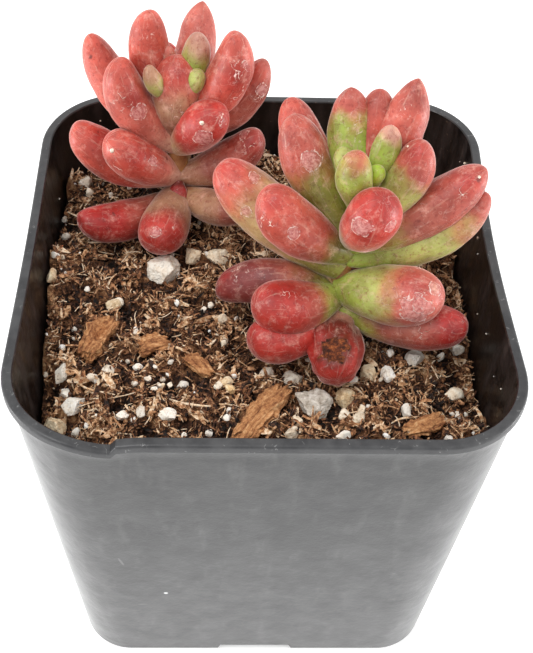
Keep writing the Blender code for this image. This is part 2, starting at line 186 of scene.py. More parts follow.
# Where the grains' own random draws start, so that no two are alike
GRIT_SEED = 100
WALL_GRIT_SEED = 400
LUMP_SEED = 700

# Shades of the soil's materials: places along a pattern and the colours there
BED_SHADES = ((0.34, (22, 12, 8)), (0.46, (84, 52, 34)), (0.6, (156, 108, 72)), (0.76, (218, 176, 130)))
LIGHT_COIR_SHADES = (
    (0.0, (26, 14, 8)),
    (0.22, (98, 60, 38)),
    (0.45, (176, 124, 84)),
    (0.7, (224, 182, 138)),
    (1.0, (252, 230, 200)),
)
DARK_COIR_SHADES = (
    (0.0, (18, 10, 6)),
    (0.25, (72, 42, 27)),
    (0.5, (140, 90, 57)),
    (0.78, (192, 138, 94)),
    (1.0, (228, 186, 142)),
)
BARK_SHADES = ((0.32, (52, 28, 16)), (0.42, (132, 80, 46)), (0.53, (196, 138, 88)), (0.68, (240, 200, 150)))
# Chalky white, tan and grey
PERLITE_SHADES = (
    ((0.26, (216, 200, 178)), (0.4, (250, 242, 228)), (0.56, (255, 253, 248))),
    ((0.3, (176, 132, 86)), (0.46, (232, 198, 146)), (0.64, (250, 230, 190))),
    ((0.34, (92, 80, 70)), (0.5, (164, 152, 138)), (0.66, (218, 208, 196))),
)

# Leaves, as in the CAD model, with finer steps and an uneven skin
LEAF_SHRINK = 0.994
LEAF_SIDES = 40
LEAF_RINGS = 44
LEAF_WIDEST = 0.58
LEAF_NECK = 0.46
LEAF_THICKNESS = 0.95
TIP_FULLNESS = 2.4
SWELL_SIZE = 3.4 * MM
SWELL = 0.2 * MM
DIMPLE_SIZE = 1.2 * MM
DIMPLE = 0.035 * MM
SKIN_INSET = 0.06 * MM
GOLDEN_ANGLE = 137.508
LEFT_STEM = (
    (-12.5, 16.0, 44.0),
    (-12.5, 16.0, 52.0),
    (-12.5, 16.2, 60.0),
    (-12.6, 17.4, 64.0),
    (-12.4, 19.0, 69.0),
    (-12.2, 20.5, 77.0),
)
LEFT_STEM_RADIUS = 1.6 * MM
RIGHT_STEM = (
    (9.8, -7.0, 44.0),
    (9.8, -7.0, 52.0),
    (9.7, -6.6, 60.0),
    (9.8, -4.8, 64.0),
    (10.8, -2.6, 69.0),
    (13.6, 1.0, 78.0),
)
RIGHT_STEM_RADIUS = 1.35 * MM
FAR_SIDE_TURN = 95.0
FAR_SIDE_REACH = 62.0
FAR_LEAF_LENGTH = 12.5
FAR_LEAF_WIDTH = 5.6
FAR_LEAF_HEIGHTS = (61.0, 64.0, 67.0, 70.0)
FAR_LEAF_LOWEST_RISE = 10.0
FAR_LEAF_RISE_PER_MM = 2.4
LEFT_SPIRAL_START = 40.0
RIGHT_SPIRAL_START = 60.0
STEM_SIDES = 28
STEM_SECTIONS = 90
# The slot of each material of a plant
SKIN, STEM, CRUST, SCAB = range(4)

# What a leaf's material reads at each point. Distances from marks are in millimetres.
LEAF_VALUES = ("tint", "grain", "scar", "scuff", "spot")
NO_MARK = 3.0
PLAIN_VALUES = {
    "tint": (0.2, 0.1, 0.05, 1.0),
    "grain": (0.0, 0.0, 0.0),
    "scar": NO_MARK,
    "scuff": 0.0,
    "spot": NO_MARK,
}
WART_COLOUR = (250, 214, 140)
CRUST_COLOUR = (96, 50, 24)
SCAB_SHADES = ((0.34, (30, 12, 6)), (0.48, (98, 44, 20)), (0.6, (160, 84, 38)), (0.74, (214, 150, 92)))

# The colours that leaves blend between
LEAF_COLOURS = {
    "lime": (178, 216, 62),
    "green": (172, 196, 80),
    "pale_green": (198, 212, 116),
    "olive": (146, 150, 60),
    "straw": (206, 178, 120),
    "beige": (196, 152, 118),
    "cream_pink": (226, 176, 152),
    "brown": (152, 96, 66),
    "rose_brown": (190, 106, 88),
    "pink": (226, 118, 102),
    "coral": (220, 96, 78),
    "rose": (206, 98, 82),
    "red": (206, 60, 48),
    "deep_red": (186, 40, 34),
    "dark_red": (124, 36, 26),
    "dusk": (140, 54, 50),
}

# One row a leaf, as in the CAD model: height on the stem, turn, rise, length, width, sag and how
# pointed it is. Then its colours from base to tip, where along it the tip's colour starts and is
# full, and its marks: kind, place along and around the leaf, and radius in millimetres.
LEFT_LEAVES = (
    (75, -151, 57, 8.0, 3.0, 0.12, 0.5, "lime", "pale_green", "beige", 0.6, 0.95, ()),
    (75, -21, 57, 6.5, 3.2, 0.05, 0.5, "lime", "green", "pale_green", 0.5, 0.9, ()),
    (75, 36, 67, 10.0, 4.2, 0.08, 0.5, "lime", "green", "cream_pink", 0.52, 0.95, ()),
    (74, 120, 66, 8.5, 3.6, 0.06, 0.5, "green", "straw", "pink", 0.5, 0.9, ()),
    (72, 72, 47, 16.5, 5.8, 0.09, 0.7, "straw", "pink", "pink", 0.6, 0.9, ()),
    (71, 136, 72, 17.0, 5.9, 0.14, 0.45, "green", "rose", "coral", 0.4, 0.7,
     (("scuff", 0.81, 128, 0.9),)),
    (71, 6, 59, 17.0, 6.6, 0.14, 0.42, "straw", "coral", "coral", 0.4, 0.8,
     (("scuff", 0.79, 8, 1.6), ("ring", 0.86, 344, 0.5), ("flush", 0.72, 0, 2.2),
      ("scuff", 0.62, 336, 1.5))),
    (70, 99, 26, 14.0, 5.0, 0.08, 0.6, "beige", "coral", "red", 0.5, 0.9, ()),
    (69, 88, 80, 12.5, 6.8, -0.05, 0.45, "brown", "beige", "coral", 0.48, 0.85,
     (("flush", 0.88, 68, 1.6), ("scuff", 0.5, 80, 1.4))),
    (69, 16, 39, 17.0, 5.6, 0.15, 0.5, "brown", "rose_brown", "rose", 0.5, 0.9,
     (("ring", 0.83, 0, 1.0), ("scuff", 0.78, 0, 1.0))),
    (67.5, 154, 47, 20.0, 6.0, 0.12, 0.5, "rose_brown", "pink", "coral", 0.6, 0.95,
     (("spot", 0.88, 156, 0.3),)),
    (67.5, 177, 61, 16.5, 6.7, 0.13, 0.42, "cream_pink", "pink", "coral", 0.5, 0.9,
     (("ring", 0.57, 144, 1.15), ("scuff", 0.74, 170, 1.5), ("flush", 0.7, 140, 1.6))),
    (67.5, -30, 53, 12.0, 6.8, 0.0, 0.5, "straw", "red", "red", 0.5, 0.9,
     (("ring", 0.73, 336, 1.4), ("speck", 0.86, 12, 0.3), ("scuff", 0.97, 288, 1.0))),
    (63, 3, 31, 14.5, 6.2, 0.1, 0.4, "beige", "rose_brown", "rose", 0.5, 0.8,
     (("ring", 0.85, 88, 0.8), ("scuff", 0.84, 36, 1.4), ("flush", 0.93, 40, 1.8))),
    (63, 179, 30, 17.0, 7.0, 0.11, 0.42, "cream_pink", "coral", "coral", 0.5, 0.9,
     (("spot", 0.8, 96, 0.25), ("flush", 0.75, 110, 2.0))),
    (63, -163, 43, 13.5, 7.0, 0.04, 0.5, "cream_pink", "coral", "coral", 0.4, 0.8,
     (("ring", 0.51, 136, 0.8), ("ring", 0.53, 128, 0.35), ("speck", 0.95, 184, 0.3),
      ("scuff", 0.82, 208, 0.9), ("spot", 0.32, 108, 0.3), ("flush", 0.7, 150, 2.4))),
    (61, -102, 3, 13.0, 7.2, 0.05, 0.42, "beige", "beige", "red", 0.52, 0.76,
     (("ring", 0.93, 88, 0.75), ("scuff", 0.81, 136, 0.6))),
    (60.5, -40, 18, 13.5, 5.4, 0.06, 0.5, "straw", "beige", "rose_brown", 0.6, 0.9,
     (("flush", 0.12, 100, 1.2),)),
    (60, -146, 10, 16.5, 6.2, 0.12, 0.34, "beige", "rose_brown", "deep_red", 0.3, 0.7,
     (("spot", 0.71, 112, 0.3),)),
)
RIGHT_LEAVES = (
    (76.5, -70, 72, 5.0, 2.6, 0.0, 0.5, "lime", "lime", "lime", 0.5, 0.9, ()),
    (76, 48, 68, 9.5, 3.8, 0.07, 0.5, "lime", "green", "cream_pink", 0.7, 0.95, ()),
    (76, 146, 45, 7.0, 3.5, 0.06, 0.5, "lime", "lime", "pale_green", 0.5, 0.9, ()),
    (74, -157, 79, 10.0, 5.0, 0.08, 0.5, "lime", "green", "rose", 0.78, 1.05, ()),
    (73, 101, 55, 16.5, 6.2, 0.1, 0.6, "green", "green", "rose", 0.68, 0.86,
     (("scuff", 0.76, 100, 0.8), ("scuff", 0.62, 84, 0.5))),
    (73, 52, 56, 19.0, 6.2, 0.09, 0.7, "olive", "rose", "rose", 0.6, 0.9,
     (("scuff", 0.79, 76, 0.9),)),
    (72, 76, 54, 17.5, 5.8, 0.08, 0.5, "straw", "coral", "rose", 0.6, 0.9, ()),
    (72, 15, 56, 14.5, 6.2, 0.11, 0.5, "pale_green", "pale_green", "rose", 0.58, 0.76,
     (("flush", 0.9, 70, 1.6), ("speck", 0.87, 110, 0.15))),
    (70, 127, 44, 20.0, 6.2, 0.05, 0.5, "straw", "coral", "coral", 0.6, 0.9, ()),
    (70, 134, 48, 18.0, 6.8, 0.08, 0.5, "olive", "olive", "rose", 0.42, 0.72,
     (("ring", 0.66, 112, 1.4), ("scuff", 0.56, 132, 0.8))),
    (70, -56, 66, 12.0, 7.4, 0.05, 0.5, "pale_green", "coral", "red", 0.4, 0.8,
     (("ring", 0.78, 340, 1.4), ("ring", 0.85, 272, 0.8), ("flush", 0.97, 264, 1.6))),
    (69, 10, 33, 20.5, 6.8, 0.08, 0.55, "green", "rose_brown", "rose", 0.45, 0.85,
     (("speck", 0.94, 44, 0.2), ("scuff", 0.81, 44, 0.8), ("spot", 0.93, 36, 0.3),
      ("flush", 0.88, 60, 2.0))),
    (68, 180, 43, 15.5, 7.6, 0.08, 0.43, "olive", "rose", "coral", 0.5, 0.8,
     (("flush", 0.95, 148, 1.5), ("scuff", 0.85, 208, 1.6), ("ring", 0.66, 160, 0.9),
      ("scuff", 0.74, 80, 0.9))),
    (67.5, 8, 26, 20.5, 6.4, 0.14, 0.5, "green", "pale_green", "rose", 0.6, 0.9, ()),
    (66, 154, 30, 21.5, 8.0, 0.04, 0.43, "olive", "straw", "coral", 0.62, 0.92,
     (("ring", 0.79, 92, 0.9), ("ring", 0.7, 160, 0.8), ("flush", 0.96, 100, 2.0))),
    (63.5, -25, 18, 15.0, 8.4, 0.02, 0.5, "green", "pale_green", "pink", 0.42, 0.72,
     (("wart", 0.95, 84, 0.75), ("ring", 0.95, 84, 0.95), ("ring", 0.84, 14, 2.1),
      ("scuff", 0.84, 20, 2.4), ("flush", 0.8, 70, 1.8))),
    (62.5, 177, 0, 16.5, 6.2, -0.14, 0.4, "olive", "rose_brown", "dusk", 0.4, 0.65,
     (("flush", 0.93, 90, 1.8), ("scuff", 0.8, 100, 1.2))),
    (62.5, -151, 18, 13.5, 8.0, 0.07, 0.5, "green", "rose", "red", 0.45, 0.7,
     (("scuff", 0.73, 104, 0.8), ("flush", 0.85, 100, 2.2))),
    (61, -19, 7, 18.0, 7.0, 0.05, 0.42, "green", "rose_brown", "deep_red", 0.6, 0.85,
     (("scuff", 0.7, 40, 1.2),)),
    (60, -147, 9, 14.0, 7.2, 0.06, 0.4, "beige", "red", "red", 0.35, 0.6,
     (("flush", 0.85, 90, 2.0),)),
    (60, -93, 0, 11.5, 7.6, 0.0, 0.42, "cream_pink", "dark_red", "red", 0.3, 0.95,
     (("wilt", 0.6, 90, 9.0), ("crust", 0.76, 78, 2.2), ("flush", 0.6, 30, 2.2))),
)
FAR_LEAF_LOOK = ("straw", "rose_brown", "coral", 0.5, 0.85, ())

# Small buds low on the left stem: place in millimetres, length, width, and turn and rise in degrees
BUDS = (
    (-12.3, 15.6, 63.4, 3.6, 3.0, -95, -38),
    (-14.0, 14.5, 61.3, 3.6, 2.0, -4, 0),
    (-12.0, 14.2, 61.2, 1.9, 1.9, -20, 5),
)
BUD_LOOK = ("dark_red", "deep_red", "red", 0.4, 0.9)
FIRST_BUD_SEED = 60

# Loose pieces bedded in the soil, as in the CAD model
BARK_CHIPS = (
    (-0.3, -20.2, 11.0, 3.8, 2.6, 52),
    (-22.6, -8.0, 7.6, 3.4, 3.0, 62),
    (-14.9, -9.3, 4.4, 3.0, 2.0, 20),
    (-8.9, -12.6, 4.8, 2.4, 1.8, -35),
    (21.0, -21.8, 5.6, 2.6, 1.8, 25),
)
PERLITE = (
    (-27.6, -21.0, 2.9, 2.7, 2.6, 10),
    (-25.2, -18.3, 3.2, 2.2, 2.2, 35),
    (-14.3, 4.3, 4.4, 3.6, 3.4, 15),
    (-10.1, 7.3, 2.6, 2.4, 2.2, 50),
    (-6.7, 7.5, 3.4, 2.6, 2.2, -10),
    (4.0, -13.5, 2.6, 2.2, 2.2, 0),
    (6.4, -18.2, 4.6, 3.8, 2.8, -15),
    (14.3, -12.9, 2.1, 2.3, 2.4, 30),
    (16.7, -13.7, 2.2, 1.9, 2.2, 70),
    (10.8, -17.1, 2.6, 2.4, 2.2, 45),
)
# How far each lump leans from white to tan, and the grey one's greyness
PERLITE_TAN = (0.8, 0.15, 0.3, 0.7, 0.6, 0.35, 0.2, 0.8, 0.1, 0.9)
PERLITE_GREY = (0.0, 0.0, 0.0, 0.0, 0.0, 0.0, 0.65, 0.0, 0.0, 0.0)
LUMP_SINK = 0.45
# The chip that curls round a hollow
CURLED_CHIP = 1
# Smaller grains on the soil: x, y and size in millimetres, and how tan
WHITE_GRAINS = (
    (0.4, -12.8, 2.2, 0.3), (12.9, -19, 1.3, 0.5), (20.8, -10.7, 2.6, 0), (17.3, -10.7, 1.1, 0),
    (24.7, -9, 1.2, 0), (27.2, -7.3, 1.8, 0), (12.2, -20.8, 1.8, 0.6), (10.4, -20.3, 1.4, 0.4),
    (12.2, -14.4, 1.2, 0), (4.4, -21.4, 1.4, 0.6), (3.6, -23.3, 1.6, 0.5), (10.1, -23.8, 1.9, 0.1),
    (18.7, -19.7, 1.5, 0.1), (25.8, -15.6, 1.9, 0.4), (25.9, -18.4, 0.8, 0), (27.1, -18.5, 0.8, 0),
    (25.5, -20.2, 0.8, 0), (23.8, -24, 1.1, 0), (-6, -16, 1.4, 0.4), (-4.8, -15.4, 1.4, 0.8),
    (-4.4, -17.2, 1.4, 1), (-4.9, -20.8, 1, 0), (-4.6, -19.9, 0.9, 0), (-7.1, -23.4, 0.9, 0),
    (-7.3, -1.9, 1, 0.2), (-8.3, -2.3, 0.9, 0.2), (-5.6, -4.6, 1.3, 0.5), (-5.4, -8.4, 1, 0.5),
    (-27.1, 22.3, 2, 0.2), (-26.3, 20.4, 1.3, 0.3), (-29.6, 15.2, 0.9, 0), (-28.6, 9.2, 1.2, 0.2),
    (-29.3, 3.8, 1, 0), (-29.5, 0.5, 2.1, 0.8), (-24.7, 0.2, 0.8, 0), (-21, -2, 1.8, 0.9),
    (-20.3, -1.3, 1.3, 0.3), (-17.5, -7.2, 1.1, 0), (-16.5, 18.3, 2.6, 0.3), (-27.1, -13.6, 2.2, 0.2),
    (-20.8, -13.7, 1.5, 0.3), (-23, -14.3, 1.2, 0.3), (-26.4, -16, 1.8, 0), (-16.9, -12.9, 1.1, 0),
    (-12.4, -12.8, 0.8, 0), (-17.1, -15.9, 0.9, 0.2), (-15.4, -15.6, 1, 0.2), (-13.9, -16, 0.7, 0.2),
    (-12.5, -15.7, 0.9, 0.3), (-10.8, -15.6, 1.2, 0), (-18.4, -21, 1.6, 0.1), (-15.9, -21, 1.3, 0.1),
    (-12.4, -21.5, 2, 0), (-24.3, -22.3, 1.4, 0), (-22.9, -22.2, 1.1, 0), (5.4, 24.6, 1.6, 0.1),
    (14, 22.6, 1.4, 0.3), (22.8, 16.4, 1.8, 0.1), (-2.6, 12.4, 1.5, 0.2), (18, 10, 1.2, 0.5),
)


def linear(colour):
    """A screen colour from 0 to 255 as the renderer's light values."""
    values = []
    for part in colour:
        part = part / 255.0
        values.append(part / 12.92 if part <= 0.04045 else ((part + 0.055) / 1.055) ** 2.4)
    return (*values, 1.0)


def smooth_step(value):
    value = min(max(value, 0.0), 1.0)
    return value * value * (3.0 - 2.0 * value)


def blend(low, high, share):
    return [a + (b - a) * share for a, b in zip(low, high)]


# Shader helpers


class Finish:
    """A material while its nodes are joined up. A pattern is an output of one of its nodes."""

    def __init__(self, name, roughness=0.5):
        self.material = bpy.data.materials.new(name)
        self.material.use_nodes = True
        self.tree = self.material.node_tree
        self.shader = self.tree.nodes["Principled BSDF"]
        self.join(self.shader, {"Roughness": roughness})
        self.place = self.node("TexCoord", {}, "Object")
        self.colour = None

    def join(self, node, inputs):
        """Set a node's inputs to values or join them to other nodes' outputs."""
        for key, value in inputs.items():
            if isinstance(value, bpy.types.NodeSocket):
                self.tree.links.new(value, node.inputs[key])
            else:
                node.inputs[key].default_value = value

    def node(self, kind, inputs, output=0, **settings):
        """Add a node and give one of its outputs."""
        node = self.tree.nodes.new("ShaderNode" + kind)
        for key, value in settings.items():
            setattr(node, key, value)
        self.join(node, inputs)
        return node.outputs[output]

    def attribute(self, name, output="Fac"):
        return self.node("Attribute", {}, output, attribute_name=name)

    def maths(self, operation, first, second=0.0):
        return self.node("Math", {0: first, 1: second}, operation=operation)

    def times(self, first, second):
        return self.maths("MULTIPLY", first, second)

    def plus(self, first, second):
        return self.maths("ADD", first, second)

    def stretched(self, scale, place=None):
        """A place with its three numbers multiplied, to draw a pattern out."""
        inputs = {0: self.place if place is None else place, 1: scale}
        return self.node("VectorMath", inputs, operation="MULTIPLY")

    def cloud(self, size, place=None, detail=3.0, roughness=0.55, distortion=0.0):
        """Noise from 0 to 1 with features of a size."""
        inputs = {
            "Vector": self.place if place is None else place,
            "Scale": 1.0 / size,
            "Detail": detail,
            "Roughness": roughness,
            "Distortion": distortion,
        }
        return self.node("TexNoise", inputs, "Fac")

    def band(self, value, low, high, first=0.0, last=1.0):
        """A value from low to high as a smooth share from first to last."""
        inputs = {"Value": value, "From Min": low, "From Max": high, "To Min": first, "To Max": last}
        return self.node("MapRange", inputs, "Result", interpolation_type="SMOOTHSTEP")

    def hairline(self, size, low, high, distortion=0.0):
        """Thin wandering lines: 1 on a line and 0 away from it."""
        wander = self.cloud(size, detail=2.0, distortion=distortion)
        away = self.maths("ABSOLUTE", self.maths("SUBTRACT", wander, 0.5))
        return self.band(away, low, high, 1.0, 0.0)

    def ramp(self, value, *stops):
        """A colour for a value, blended between stops of place and screen colour."""
        colour = self.node("ValToRGB", {"Fac": value}, "Color")
        elements = colour.node.color_ramp.elements
        while len(elements) < len(stops):
            elements.new(0.5)
        for element, (place, shade) in zip(elements, stops):
            element.position = place
            element.color = linear(shade)
        return colour

    def mix(self, share, first, second, how="MIX"):
        """Two colours mixed by a share."""
        inputs = {0: share, 6: first, 7: second}
        return self.node("Mix", inputs, 2, data_type="RGBA", blend_type=how)

    def wash(self, pattern, strength, colour, how="MIX"):
        """Mix a screen colour into the material's own colour where a pattern shows."""
        self.colour = self.mix(self.times(pattern, strength), self.colour, linear(colour), how)

    def relief(self, height, depth, under=None):
        """Relief of a depth in metres from a height map, over another relief if one is given."""
        inputs = {"Height": height, "Distance": depth}
        if under is not None:
            inputs["Normal"] = under
        normal = self.node("Bump", inputs, "Normal")
        self.join(self.shader, {"Normal": normal})
        return normal

    def done(self, **settings):
        """The material, with its colour and the shader's other settings in place."""
        inputs = {key.replace("_", " ").title(): value for key, value in settings.items()}
        self.join(self.shader, {"Base Color": self.colour, **inputs})
        return self.material


# Materials


def leaf_material():
    """Fleshy leaf skin: blotched and freckled colour, waxy bloom, whitish scuff lines that are partly
    scratches and partly painted glints, and healed scars whose rims are partly painted glints.
    """
    skin = Finish("leaf_skin")
    blotch = skin.cloud(3.6 * MM, detail=4.0)
    shade = skin.ramp(blotch, (0.3, (186, 164, 160)), (0.7, (244, 240, 238)))
    skin.colour = skin.mix(1.0, skin.attribute("tint", "Color"), shade, "MULTIPLY")
    freckle = skin.band(skin.cloud(0.6 * MM, detail=5.0, roughness=0.75), 0.5, 0.68)
    skin.wash(freckle, 0.7, (196, 118, 108), "MULTIPLY")
    bloom = skin.band(skin.cloud(1.5 * MM, detail=6.0, roughness=0.7), 0.5, 0.76)
    skin.wash(bloom, 0.44, (240, 190, 172))
    grain = skin.stretched((0.28, 1.5, 1.0), skin.attribute("grain", "Vector"))
    streak = skin.band(skin.cloud(1.0, grain, detail=4.0, roughness=0.6), 0.54, 0.72)
    skin.wash(streak, 0.22, (240, 200, 178))
    # Whitish scuff lines: partly scratches, partly painted glints; a faint share of them is painted on
    # every leaf as glints.
    line = skin.hairline(1.25 * MM, 0.006, 0.022, distortion=0.6)
    broken = skin.band(skin.cloud(0.8 * MM, detail=1.0), 0.44, 0.56)
    glints_everywhere = skin.plus(skin.attribute("scuff"), 0.14)
    scuff = skin.times(line, skin.times(broken, glints_everywhere))
    skin.wash(scuff, 0.85, (250, 226, 214))
    scar = skin.attribute("scar")
    inside = skin.band(scar, -0.35, 0.05, 1.0, 0.0)
    crackle = skin.cloud(0.42 * MM, roughness=0.7)
    silver = skin.ramp(crackle, (0.38, (168, 84, 82)), (0.62, (228, 176, 168)))
    skin.colour = skin.mix(skin.times(inside, 0.6), skin.colour, silver)
    # The scar's rim is painted whitish: partly a pale healed rim, partly a painted glint.
    edge = skin.band(skin.maths("ABSOLUTE", scar), 0.02, 0.11, 1.0, 0.0)
    edge = skin.times(edge, skin.band(crackle, 0.42, 0.6))
    skin.wash(edge, 0.85, (252, 224, 214))
    spot = skin.band(skin.attribute("spot"), -0.1, 0.18, 1.0, 0.0)
    skin.wash(spot, 0.8, (92, 24, 22))
    rough = skin.band(skin.cloud(1.1 * MM), 0.3, 0.7, 0.42, 0.62)
    rough = skin.maths("SUBTRACT", rough, skin.times(edge, 0.2))
    height = skin.plus(skin.times(blotch, 0.8), skin.times(streak, 0.25))
    height = skin.plus(height, skin.times(skin.plus(edge, scuff), 0.5))
    height = skin.plus(height, skin.times(crackle, 0.16))
    skin.relief(height, 0.16 * MM)
    return skin.done(
        roughness=rough,
        subsurface_weight=0.18,
        subsurface_radius=(1.0, 0.35, 0.2),
        subsurface_scale=1.4 * MM,
        sheen_weight=0.9,
        sheen_roughness=0.28,
        sheen_tint=linear((255, 226, 216)),
        coat_weight=0.1,
        coat_roughness=0.3,
    )


def stem_material():
    """Fleshy stem, brown to green, with flecks."""
    skin = Finish("stem_skin")
    tone = skin.cloud(2.2 * MM, detail=4.0)
    skin.colour = skin.ramp(tone, (0.3, (120, 70, 40)), (0.55, (156, 104, 60)), (0.75, (176, 150, 84)))
    fleck = skin.band(skin.cloud(0.4 * MM, detail=2.0), 0.56, 0.68)
    skin.wash(fleck, 0.5, (96, 52, 30))
    skin.relief(skin.cloud(0.6 * MM), 0.1 * MM)
    return skin.done(
        subsurface_weight=0.1, subsurface_radius=(1.0, 0.5, 0.2), subsurface_scale=1.0 * MM
    )


def crust_material():
    """Dry white crust of a speck on a leaf."""
    skin = Finish("leaf_crust", 0.7)
    tone = skin.cloud(0.2 * MM)
    skin.colour = skin.ramp(tone, (0.35, (214, 186, 160)), (0.6, (250, 240, 224)))
    skin.relief(tone, 0.05 * MM)
    return skin.done()


def scab_material():
    """Rough brown scab where a leaf has dried out."""
    skin = Finish("leaf_scab", 0.9)
    tone = skin.cloud(0.7 * MM, detail=6.0, roughness=0.75)
    skin.colour = skin.ramp(tone, *SCAB_SHADES)
    skin.relief(tone, 0.5 * MM)
    return skin.done()


def pot_mark(skin, x, z, wide, high, tilt):
    """The share of a small oval mark on the pot's front."""
    middle = (x * MM, 0.0, z * MM)
    centred = skin.node("VectorMath", {0: skin.place, 1: middle}, operation="SUBTRACT")
    inputs = {"Vector": centred, "Angle": math.radians(tilt)}
    turned = skin.node("VectorRotate", inputs, rotation_type="Y_AXIS")
    scaled = skin.stretched((1.0 / (wide * MM), 0.0, 1.0 / (high * MM)), turned)
    distance = skin.node("VectorMath", {0: scaled}, "Value", operation="LENGTH")
    depth = skin.node("SeparateXYZ", {0: skin.place}, "Y")
    front = skin.maths("LESS_THAN", depth, -0.5 * BASE_HALF)
    return skin.times(skin.band(distance, 0.6, 1.1, 0.85, 0.0), front)


def pot_outside_material():
    """Grey moulded plastic, faintly mottled, with handling marks."""
    skin = Finish("pot_outside")
    mottle = skin.cloud(7.0 * MM, detail=5.0, roughness=0.6)
    skin.colour = skin.ramp(mottle, (0.3, (34, 34, 35)), (0.7, (42, 42, 42)))
    drawn = skin.stretched((1.0, 1.0, 0.35))
    skin.wash(skin.band(skin.cloud(2.4 * MM, drawn, detail=5.0), 0.5, 0.8), 0.2, (122, 121, 120))
    dust = skin.band(skin.cloud(0.35 * MM, detail=2.0), 0.66, 0.74)
    skin.wash(dust, 0.25, (66, 66, 68))
    for *shape, shade in POT_MARKS:
        skin.wash(pot_mark(skin, *shape), 1.0, (shade, shade, shade))
    rough = skin.band(skin.cloud(4.0 * MM, detail=4.0), 0.3, 0.7, 0.36, 0.48)
    fine = skin.relief(skin.cloud(0.3 * MM, detail=2.0), 0.012 * MM)
    skin.relief(mottle, 0.12 * MM, under=fine)
    return skin.done(roughness=rough, sheen_weight=0.75, sheen_roughness=0.3)


def pot_lip_material():
    """The lip: the same plastic, darker and scuffed by handling."""
    skin = Finish("pot_lip")
    tone = skin.cloud(2.6 * MM, detail=5.0, roughness=0.65)
    skin.colour = skin.ramp(tone, (0.35, (44, 44, 46)), (0.65, (66, 66, 67)))
    scratch = skin.hairline(1.6 * MM, 0.004, 0.014)
    broken = skin.band(skin.cloud(1.1 * MM), 0.56, 0.66)
    skin.wash(skin.times(scratch, broken), 0.35, (176, 176, 174))
    skin.relief(skin.cloud(0.5 * MM), 0.04 * MM)
    return skin.done(roughness=skin.band(tone, 0.3, 0.7, 0.3, 0.5))


def pot_inside_material():
    """Near-black inside wall of the same plastic as the outside, painted darker than the outside as painted
    shade, glossy, with dusty smudges that run down it.
    """
    skin = Finish("pot_inside")
    smear = skin.cloud(2.2 * MM, skin.stretched((1.0, 1.0, 0.3)), detail=6.0, roughness=0.65)
    skin.colour = skin.ramp(smear, (0.45, (22, 18, 18)), (0.62, (44, 36, 34)), (0.8, (84, 70, 64)))
    dust = skin.band(skin.cloud(0.5 * MM), 0.64, 0.74)
    skin.wash(dust, 0.35, (118, 96, 80))
    skin.relief(skin.cloud(0.9 * MM), 0.05 * MM)
    return skin.done(roughness=skin.band(smear, 0.4, 0.7, 0.28, 0.6))


def bed_material():
    """Dark moist soil between the loose pieces, its darkness partly painted shade in the gaps, and painted
    lighter where it heaps up and darker in the hollows, as painted shade.
    """
    skin = Finish("soil_bed", 0.95)
    tone = skin.cloud(0.7 * MM, detail=6.0, roughness=0.75)
    # Painted shade: the heaps are lighter and the hollows darker.
    heap = skin.times(skin.attribute("heap"), 0.22)
    skin.colour = skin.ramp(skin.plus(tone, heap), *BED_SHADES)
    skin.relief(skin.cloud(0.35 * MM, detail=5.0, roughness=0.7), 0.3 * MM)
    return skin.done()


def coir_material(name, shades):
    """Chopped coconut fibre: each piece has its own shade, which for flakes and shreds is also painted
    shade, darker where they lie low and in hollows, and is a little uneven.
    """
    skin = Finish(name, 0.8)
    uneven = skin.band(skin.cloud(0.55 * MM, detail=4.0, roughness=0.7), 0.32, 0.68, -0.32, 0.3)
    skin.colour = skin.ramp(skin.plus(skin.attribute("shade"), uneven), *shades)
    skin.relief(skin.cloud(0.18 * MM, roughness=0.7), 0.08 * MM)
    return skin.done()


def bark_material():
    """Crumbly orange-tan bark in layers along its length, with dark cracks."""
    skin = Finish("bark_flesh", 0.85)
    grain = skin.stretched((0.22, 1.5, 1.5), skin.attribute("grain", "Vector"))
    fibre = skin.cloud(1.0, grain, detail=6.0, roughness=0.7, distortion=0.5)
    crumb = skin.cloud(0.5 * MM, detail=4.0, roughness=0.7)
    tone = skin.plus(skin.times(fibre, 0.62), skin.times(crumb, 0.38))
    skin.colour = skin.ramp(tone, *BARK_SHADES)
    skin.relief(tone, 0.5 * MM)
    return skin.done()


def perlite_material():
    """Expanded rock grains: chalky white to tan or grey, pitted and a little soiled."""
    skin = Finish("perlite_chalk", 0.85)
    tone = skin.cloud(0.9 * MM, detail=5.0, roughness=0.65)
    chalk, sand, stone = (skin.ramp(tone, *shades) for shades in PERLITE_SHADES)
    tan = skin.mix(skin.attribute("tan"), chalk, sand)
    skin.colour = skin.mix(skin.attribute("grey"), tan, stone)
    cells = skin.node("TexVoronoi", {"Vector": skin.place, "Scale": 1.0 / (0.42 * MM)}, "Distance")
    pit = skin.band(cells, 0.12, 0.34, 1.0, 0.0)
    soiled = skin.times(pit, skin.band(tone, 0.42, 0.56, 1.0, 0.15))
    skin.wash(soiled, 0.32, (150, 118, 90))
    skin.relief(skin.maths("SUBTRACT", tone, skin.times(pit, 0.6)), 0.13 * MM)
    return skin.done()


# Mesh helpers


def link_mesh(name, mesh, materials=()):
    """Put a mesh in the scene as an object."""
    for material in materials:
        mesh.materials.append(material)
    ob = bpy.data.objects.new(name, mesh)
    bpy.context.scene.collection.objects.link(ob)
    return ob


def mesh_object(name, bm, materials=()):
    """Turn a bmesh into an object in the scene."""
    mesh = bpy.data.meshes.new(name)
    bm.to_mesh(mesh)
    bm.free()
    return link_mesh(name, mesh, materials)


